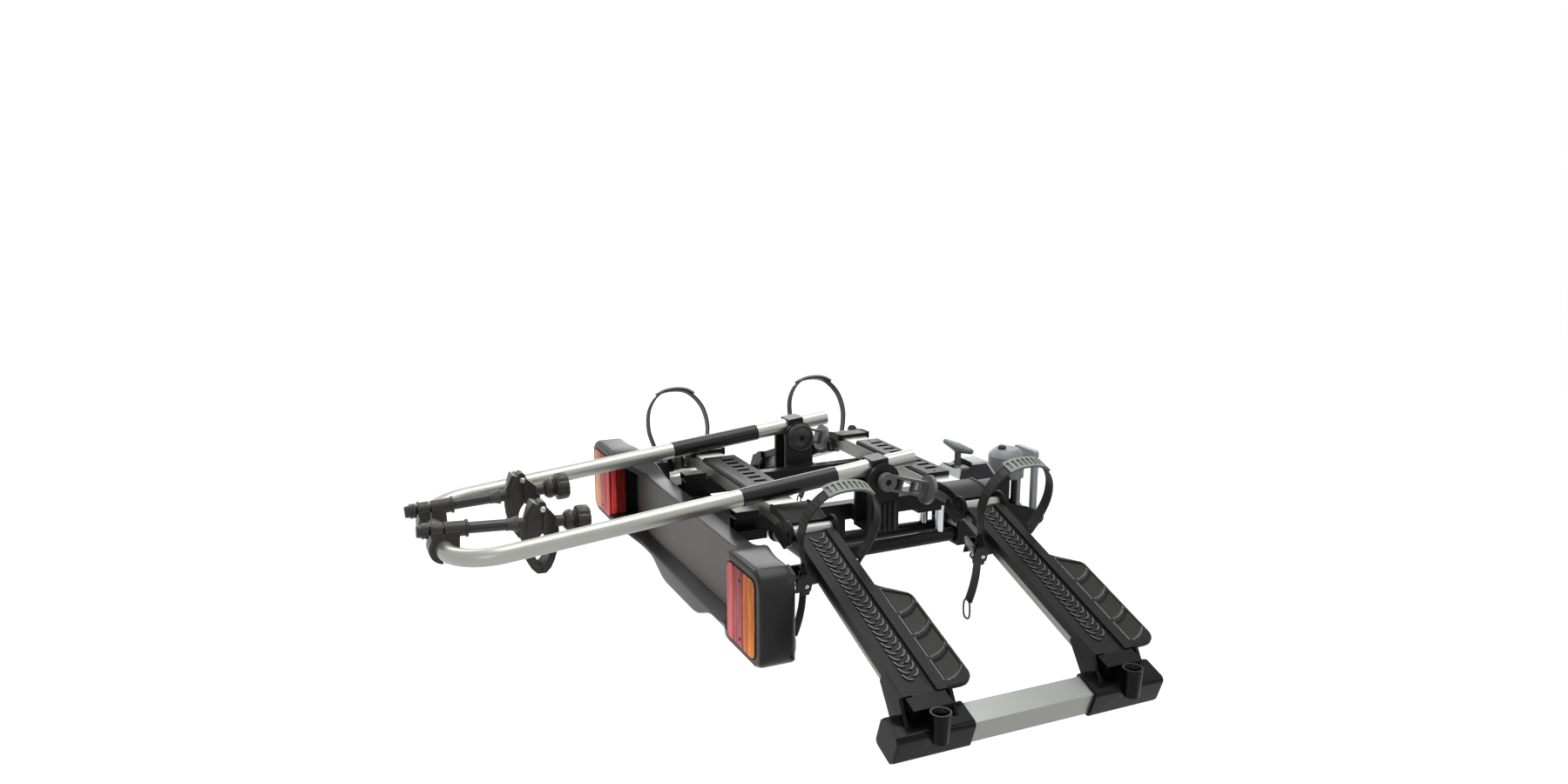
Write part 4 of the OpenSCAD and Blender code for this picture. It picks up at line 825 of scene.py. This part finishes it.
# Tray arms: an aluminium rail under a moulded tray with curved ribs and a wing
# at the side, screwed down, an end block with a ramp socket on each rail, and a
# square tube that ties the front and rear blocks together.
ARM_SLOPE = math.radians(20)
RAIL_Z = 0.040
BEND_TO_HINGE = 0.048
HINGE_X = 0.285
HINGE_Z = RAIL_Z - BEND_TO_HINGE * math.tan(ARM_SLOPE)
TRAY_LINES = (-0.600, -0.260)
TRAY_TOP = 0.009
RIB_TOP = 0.0065
RIB_NEAR = 0.0004
RIB_HALF = 0.020
SCREWS_AT = (0.118, 0.330)
SCREWS_UP = 0.0030
SCREW_HEAD = [(0, 0.0006), (0.0012, 0.0006), (0.0014, 0.0022), (0.0030, 0.0019),
              (0.0040, 0.0006), (0.0040, -0.001), (0, -0.001)]
WING_CUT = 0.03795
WING_GRID = (170, 44)
WING_FROM = 0.158
WING_TO = 0.396
WING_INNER = 0.0376
WING_OUTER = 0.088
WING_SLOPE = 0.046
WING_ROUND = 0.026
WING_THICK = 0.006
PANELS = 4
PANELS_FROM = WING_FROM + 0.030
PANEL_STEP = (WING_TO - 0.010 - PANELS_FROM) / PANELS
PANEL_GAP = 0.0085
PANEL_END = 0.004
PANEL_SOFT = 0.0035
FIRST_PANEL_FROM = WING_FROM + 0.018
FIRST_PANEL_SLANT = 0.022
PANEL_INNER = 0.0420
PANEL_OUTER = 0.0838
PANEL_BOW = 0.024
PANEL_DEPTH = 0.0030
BEAD_HIGH = 0.0011
BEAD_OFF = 0.0012
BEAD_WIDE = 0.0014
BEAD_FADE = 0.004
OUTLINE_HIGH = 0.0005
OUTLINE_OFF = 0.0011
OUTLINE_WIDE = 0.0009
RIM_DROP = 0.0016
RIM_EASE = 0.0022
RAISED = 0.0003
SUNK = -0.0027


def arm_place(side, line):
    """From a tray arm's own frame (along it, across it, square to it) to the rack's."""
    flip = 1 if side == "right" else -1
    slope = Matrix(((math.cos(ARM_SLOPE), 0, math.sin(ARM_SLOPE)), (0, 1, 0),
                    (-math.sin(ARM_SLOPE), 0, math.cos(ARM_SLOPE)))).to_4x4()
    return (Matrix.Diagonal((flip, 1, 1, 1)) @ Matrix.Translation((HINGE_X, line, HINGE_Z))
            @ slope)


def wing_edge(u):
    reach = WING_INNER + (WING_OUTER - WING_INNER) * ease((u - WING_FROM) / WING_SLOPE)
    turn = (u - WING_TO + WING_ROUND) / WING_ROUND
    if turn > 0:
        reach -= WING_ROUND * (1 - math.sqrt(max(0.0, 1 - turn * turn)))
    return reach


def bump(off, width):
    return math.exp(-(off / width) ** 2)


def wing_height(u, v):
    """Panels pressed into the wing, each with a curved bead along its lower edge."""
    out = max(0.0, (v - PANEL_INNER) / (PANEL_OUTER - PANEL_INNER))
    depth = bead = outline = 0.0
    for i in range(PANELS):
        low_edge = PANELS_FROM + (i + 1) * PANEL_STEP - PANEL_END - PANEL_BOW * out ** 2.2
        high_edge = (low_edge - PANEL_STEP + PANEL_GAP if i
                     else FIRST_PANEL_FROM + FIRST_PANEL_SLANT * out)
        inside = min(u - high_edge, low_edge - u, v - PANEL_INNER, PANEL_OUTER - v)
        depth = max(depth, ease(inside / PANEL_SOFT))
        outline = max(outline, bump(inside + OUTLINE_OFF, OUTLINE_WIDE))
        along = (ease((v - PANEL_INNER - 0.002) / BEAD_FADE)
                 * ease((PANEL_OUTER + 0.001 - v) / BEAD_FADE))
        bead = max(bead, along * bump(u - low_edge - BEAD_OFF, BEAD_WIDE))
    rim = ease((wing_edge(u) - v) / RIM_EASE) * ease((WING_TO - u) / RIM_EASE)
    return (TRAY_TOP - PANEL_DEPTH * depth + max(BEAD_HIGH * bead, OUTLINE_HIGH * outline)
            - RIM_DROP * (1 - rim))


def of_kind(geometry, kind):
    return [g for g in geometry if isinstance(g, kind)]


# painted highlight: the tray ribs' tops and the wing's beads and panel outlines are painted paler,
# for the glints on them
rib_highlight_grey = finish("tray_rib_top_highlights", (0.10, 0.10, 0.105), 0.28, grain=1400.0, dent=0.1)
panel_brown = finish("wing_panels", (0.019, 0.018, 0.0158), 0.38, mottle=0.12, grain=1400.0,
                     dent=0.25, specular=0.18)
block_black = finish("end_block_black", (0.006, 0.0057, 0.006), 0.24, dent=0.05,
                     specular=0.12, smear=0.03)
tray_black = finish("tray_black", (0.0145, 0.014, 0.0138), 0.34, mottle=0.12, grain=1400.0,
                    dent=0.2, specular=0.13)
tube_silver = finish("tube_aluminium", (0.285, 0.290, 0.272), 0.36, metal=0.8, mottle=0.05,
                     dent=0.05, stretch=(0.06, 1.0, 1.0), smear=0.07)
for side in ("right", "left"):
    dressed("arm_rails_" + side, tube_silver, edge=0.0015)
    dressed("end_blocks_" + side, block_black, edge=0.0028, segments=4)
    dressed("end_tube_" + side, tube_silver, edge=0.002, segments=3)

    # the CAD's plain wing is cut off each tray, and the ribs' tops get a paler painted highlight
    trays = merged("trays_" + side)
    middle = sum(TRAY_LINES) / 2
    for line in TRAY_LINES:
        part = [g for g in (*trays.verts, *trays.edges, *trays.faces)
                if ((g if isinstance(g, bmesh.types.BMVert) else g.verts[0]).co.y < middle)
                == (line < middle)]
        cut = bmesh.ops.bisect_plane(trays, geom=part, dist=1e-7, plane_co=(0, line + WING_CUT, 0),
                                     plane_no=(0, 1, 0), clear_outer=True)["geom_cut"]
        bmesh.ops.holes_fill(trays, edges=of_kind(cut, bmesh.types.BMEdge), sides=0)
    flatten(trays)
    lands = {line: arm_place(side, line).inverted() for line in TRAY_LINES}
    for face in trays.faces:
        at = face.calc_center_median()
        near = lands[min(TRAY_LINES, key=lambda line: abs(line - at.y))] @ at
        if abs(near.z - RIB_TOP) < RIB_NEAR and abs(near.y) < RIB_HALF:
            face.material_index = 1
    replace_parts(soften(keep(trays, "trays_%s_dressed" % side, [tray_black, rib_highlight_grey],
                            "arm_" + side, merge=False), 0.0007),
                "trays_" + side)

    wings = bmesh.new()
    screws = bmesh.new()
    for line in TRAY_LINES:
        place = arm_place(side, line)
        before = set(wings.verts)
        bmesh.ops.create_grid(wings, x_segments=WING_GRID[0], y_segments=WING_GRID[1], size=0.5)
        top = [v for v in wings.verts if v not in before]
        rim = [e for e in wings.edges if e.is_boundary and e.verts[0] not in before]
        for vert in top:
            u = WING_FROM + (WING_TO - WING_FROM) * (vert.co.x + 0.5)
            v = WING_INNER + (wing_edge(u) - WING_INNER) * (vert.co.y + 0.5)
            vert.co = (u, v, wing_height(u, v))
        # raised beads and outlines take the painted highlight, sunk panel floors the panel colour
        for face in (f for f in wings.faces if f.verts[0] not in before):
            height = face.calc_center_median().z - TRAY_TOP
            face.material_index = 1 if height > RAISED else 2 if height < SUNK else 0
        walls = bmesh.ops.extrude_edge_only(wings, edges=rim)["geom"]
        low = of_kind(walls, bmesh.types.BMVert)
        for vert in low:
            vert.co.z = TRAY_TOP - WING_THICK
        bmesh.ops.holes_fill(wings, edges=[e for e in of_kind(walls, bmesh.types.BMEdge)
                                           if e.is_boundary], sides=0)
        bmesh.ops.transform(wings, matrix=place, verts=top + low)
        for u in SCREWS_AT:
            turned(screws, SCREW_HEAD, place @ Matrix.Translation((u, 0, SCREWS_UP)), 12)
    keep(wings, "tray_wings_" + side, [tray_black, rib_highlight_grey, panel_brown],
         "arm_" + side)
    keep(screws, "tray_screws_" + side, [cap_black], "arm_" + side)


# Wheel straps: moulded plastic bands with a raised edge, bent to a hoop over
# the tray, with a grey ladder pad at the crown and a loop at the tail's end. One
# end turns on a hub at the rail's side, the other goes through the buckle.
HOOP_HALF = 0.068
HOOP_HEIGHT = 0.146
HOOP_SHARES = [(-0.70, -0.20), (-0.70, -0.02), (-0.86, 0.22), (-0.96, 0.46), (-0.86, 0.74),
               (-0.50, 0.95), (0, 1.0), (0.50, 0.95), (0.88, 0.74), (1.0, 0.46), (0.88, 0.18),
               (0.70, -0.02), (0.67, -0.17)]
HOOP_STEPS = 4
STRAP_AT = 0.085
STRAP_WIDE = 0.020
STRAP_THICK = 0.0026
STRAP_RIM = 0.0006
HOLE_INNER = 0.0032
TOOTH_HALF = 0.0062
TOOTH_HIGH = 0.0009
TOOTH_LONG = 0.0012
TEETH = (0, 0.0024, 0.0048)
TAIL_LENGTH = 0.074
TAIL_SWAY = 0.016
TAIL_STEPS = 8
LOOP_HALF = 0.0100
LOOP_HIGH = 0.0175
LOOP_DROP = 0.0165
LOOP_STEPS = 24
LOOP_WIRE = [(-0.0013, -0.0015), (0.0013, -0.0015), (0.0013, 0.0015), (-0.0013, 0.0015)]
PAD_HALF = 0.014
PAD_SIDE = 0.0052
PAD_FLOOR = 0.0016
PAD_THICK = 0.0045
RUNG_HALF = 0.011
RUNG_BACK = 0.0016
RUNG_ON = 0.0032
HUB_BACK = 0.0066
HUB = [(0, -0.014), (0.0045, -0.014), (0.0045, 0), (0.009, 0), (0.009, 0.003),
       (0.0082, 0.004), (0.0058, 0.004), (0.0052, 0.0032), (0, 0.0032)]
BUCKLE_Y = -0.038
BUCKLE_LOW = -0.052
BUCKLE_SCREW = (0.0172, -0.0095, -0.03)
SPRING_HALF = 0.006
SPRING_Y = -0.0145
SPRING_LOW = -0.046
SPRING_TOP = -0.016
SPRING_WIRE = 0.0012
ARM_X = Vector((1, 0, 0))
ARM_Y = Vector((0, 1, 0))


def stations(points, across, closed=False):
    """Frames along a line: X across the band, Y along it and Z outwards. A closed
    line ends on the frame that it starts with."""
    frames = []
    last = len(points) - 1
    for i, point in enumerate(points):
        ahead, behind = (((i + 1) % len(points), i - 1) if closed
                         else (min(last, i + 1), max(0, i - 1)))
        along = (points[ahead] - points[behind]).normalized()
        frames.append(Matrix.Translation(point)
                      @ Matrix((across, along, across.cross(along))).transposed().to_4x4())
    return frames + frames[:1] if closed else frames


def banded(width, thick, rim, edge=0.0018):
    half = width / 2
    return [(-half, 0), (half, 0), (half, thick + rim), (half - edge, thick + rim),
            (half - edge, thick), (edge - half, thick), (edge - half, thick + rim),
            (-half, thick + rim)]


def strip(left, right, high, low=0):
    return [(left, low), (right, low), (right, high), (left, high)]


def shifted(frames, along=0.0, out=0.0):
    return [at @ Matrix.Translation((0, along, out)) for at in frames]


def hoop_point(i):
    """A point on the smooth curve through the hoop's shares."""
    share = [HOOP_SHARES[max(0, min(len(HOOP_SHARES) - 1, i // HOOP_STEPS + k))]
             for k in (-1, 0, 1, 2)]
    t = (i % HOOP_STEPS) / HOOP_STEPS
    out = []
    for a, b, c, d in zip(*share):
        out.append(0.5 * (2 * b + (c - a) * t + (2 * a - 5 * b + 4 * c - d) * t * t
                          + (3 * b - a - 3 * c + d) * t ** 3))
    return Vector((0, out[0] * HOOP_HALF, out[1] * HOOP_HEIGHT))


def loop_point(i):
    """A point on the tail's loop, which is a long ring with squarish ends."""
    a = math.radians(360 * i / LOOP_STEPS)
    x, z = (math.copysign(abs(share) ** 0.75, share) for share in (math.cos(a), math.sin(a)))
    return Vector((LOOP_HALF * x, 0, LOOP_HIGH * z))


strap_black = finish("strap_black", (0.036, 0.033, 0.033), 0.42, grain=1200.0, dent=0.15,
                     specular=0.28)
pad_grey = finish("strap_pad_grey", (0.27, 0.28, 0.255), 0.4, mottle=0.07, grain=1500.0,
                  specular=0.4)
hoop = [hoop_point(i) for i in range((len(HOOP_SHARES) - 1) * HOOP_STEPS)]
rings = stations(hoop, ARM_X)
crown = shifted(rings[20:30], out=STRAP_THICK)
toothed = (*rings[6:19], *rings[32:-6])
holes = (len(rings) - 5, len(rings) - 3)
loop = stations([loop_point(i) for i in range(LOOP_STEPS)], ARM_Y, closed=True)
tail = [Vector((0, -TAIL_SWAY * (i / TAIL_STEPS) ** 2, -TAIL_LENGTH * i / TAIL_STEPS))
        for i in range(TAIL_STEPS + 1)]
band = banded(STRAP_WIDE, STRAP_THICK, STRAP_RIM)
for side in ("right", "left"):
    bands, pads, springs = bmesh.new(), bmesh.new(), bmesh.new()
    for line in TRAY_LINES:
        place = arm_place(side, line) @ Matrix.Translation((STRAP_AT, 0, 0))
        carry(bands, band, rings[:holes[0]], place)
        for first in range(holes[0] - 1, len(rings) - 1):
            spans = [(-STRAP_WIDE / 2, STRAP_WIDE / 2)]
            if first + 1 in holes:
                spans = [(-STRAP_WIDE / 2, -HOLE_INNER), (HOLE_INNER, STRAP_WIDE / 2)]
            for left, right in spans:
                carry(bands, strip(left, right, STRAP_THICK), rings[first:first + 2], place)
        for ring in toothed:
            for step in TEETH:
                carry(bands, strip(-TOOTH_HALF, TOOTH_HALF, STRAP_THICK + TOOTH_HIGH, STRAP_THICK),
                      shifted([ring], step) + shifted([ring], step + TOOTH_LONG), place)
        carry(pads, strip(-PAD_HALF, PAD_HALF, PAD_FLOOR), crown, place)
        for left, right in ((-PAD_HALF, PAD_SIDE - PAD_HALF), (PAD_HALF - PAD_SIDE, PAD_HALF)):
            carry(pads, strip(left, right, PAD_THICK), crown, place)
        for rung in crown:
            carry(pads, strip(-RUNG_HALF, RUNG_HALF, PAD_THICK),
                  shifted([rung], 0 if rung is crown[0] else -RUNG_BACK)
                  + shifted([rung], 0 if rung is crown[-1] else RUNG_ON), place)
        tail_top = (place @ Matrix.Translation((0, hoop[0].y, BUCKLE_LOW))
                    @ Matrix.Rotation(-ARM_SLOPE, 4, "Y"))
        carry(bands, band, [Matrix.Translation((0, STRAP_THICK, 0)) @ at
                            for at in stations(tail, ARM_X)], tail_top)
        carry(bands, LOOP_WIRE, loop, tail_top @ Matrix.Translation((
            0, STRAP_THICK / 2 - TAIL_SWAY, STRAP_THICK - TAIL_LENGTH - LOOP_DROP)), closed=True)
        turned(bands, HUB, place @ Matrix.Translation((0, hoop[-1].y - HUB_BACK, hoop[-1].z))
               @ Matrix.Rotation(math.radians(-90), 4, "X"))

        buckle = place @ Matrix.Translation((0, BUCKLE_Y, 0))
        turned(springs, SCREW_HEAD, buckle @ Matrix.Translation(BUCKLE_SCREW)
               @ Matrix.Rotation(math.radians(90), 4, "Y"), 12)
        for x in (-SPRING_HALF, SPRING_HALF):
            strut(springs, buckle @ Vector((x, SPRING_Y, SPRING_LOW)),
                  buckle @ Vector((x, SPRING_Y, SPRING_TOP)), SPRING_WIRE)
    for shape in (bands, pads):
        bmesh.ops.recalc_face_normals(shape, faces=shape.faces)
    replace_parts(soften(keep(bands, "strap_bands_" + side, [strap_black], "arm_" + side,
                            merge=False), 0.0003, 1), "straps_" + side)
    soften(keep(pads, "strap_pads_" + side, [pad_grey], "arm_" + side,
                merge=False), 0.0004)
    dressed("buckles_" + side, moulded_black, edge=0.0014, segments=3)
    for spot in ("rear_", "front_"):
        dressed("buckle_lever_" + spot + side, clamp_black, edge=0.001)
    keep(springs, "buckle_springs_" + side, [zinc], "arm_" + side)
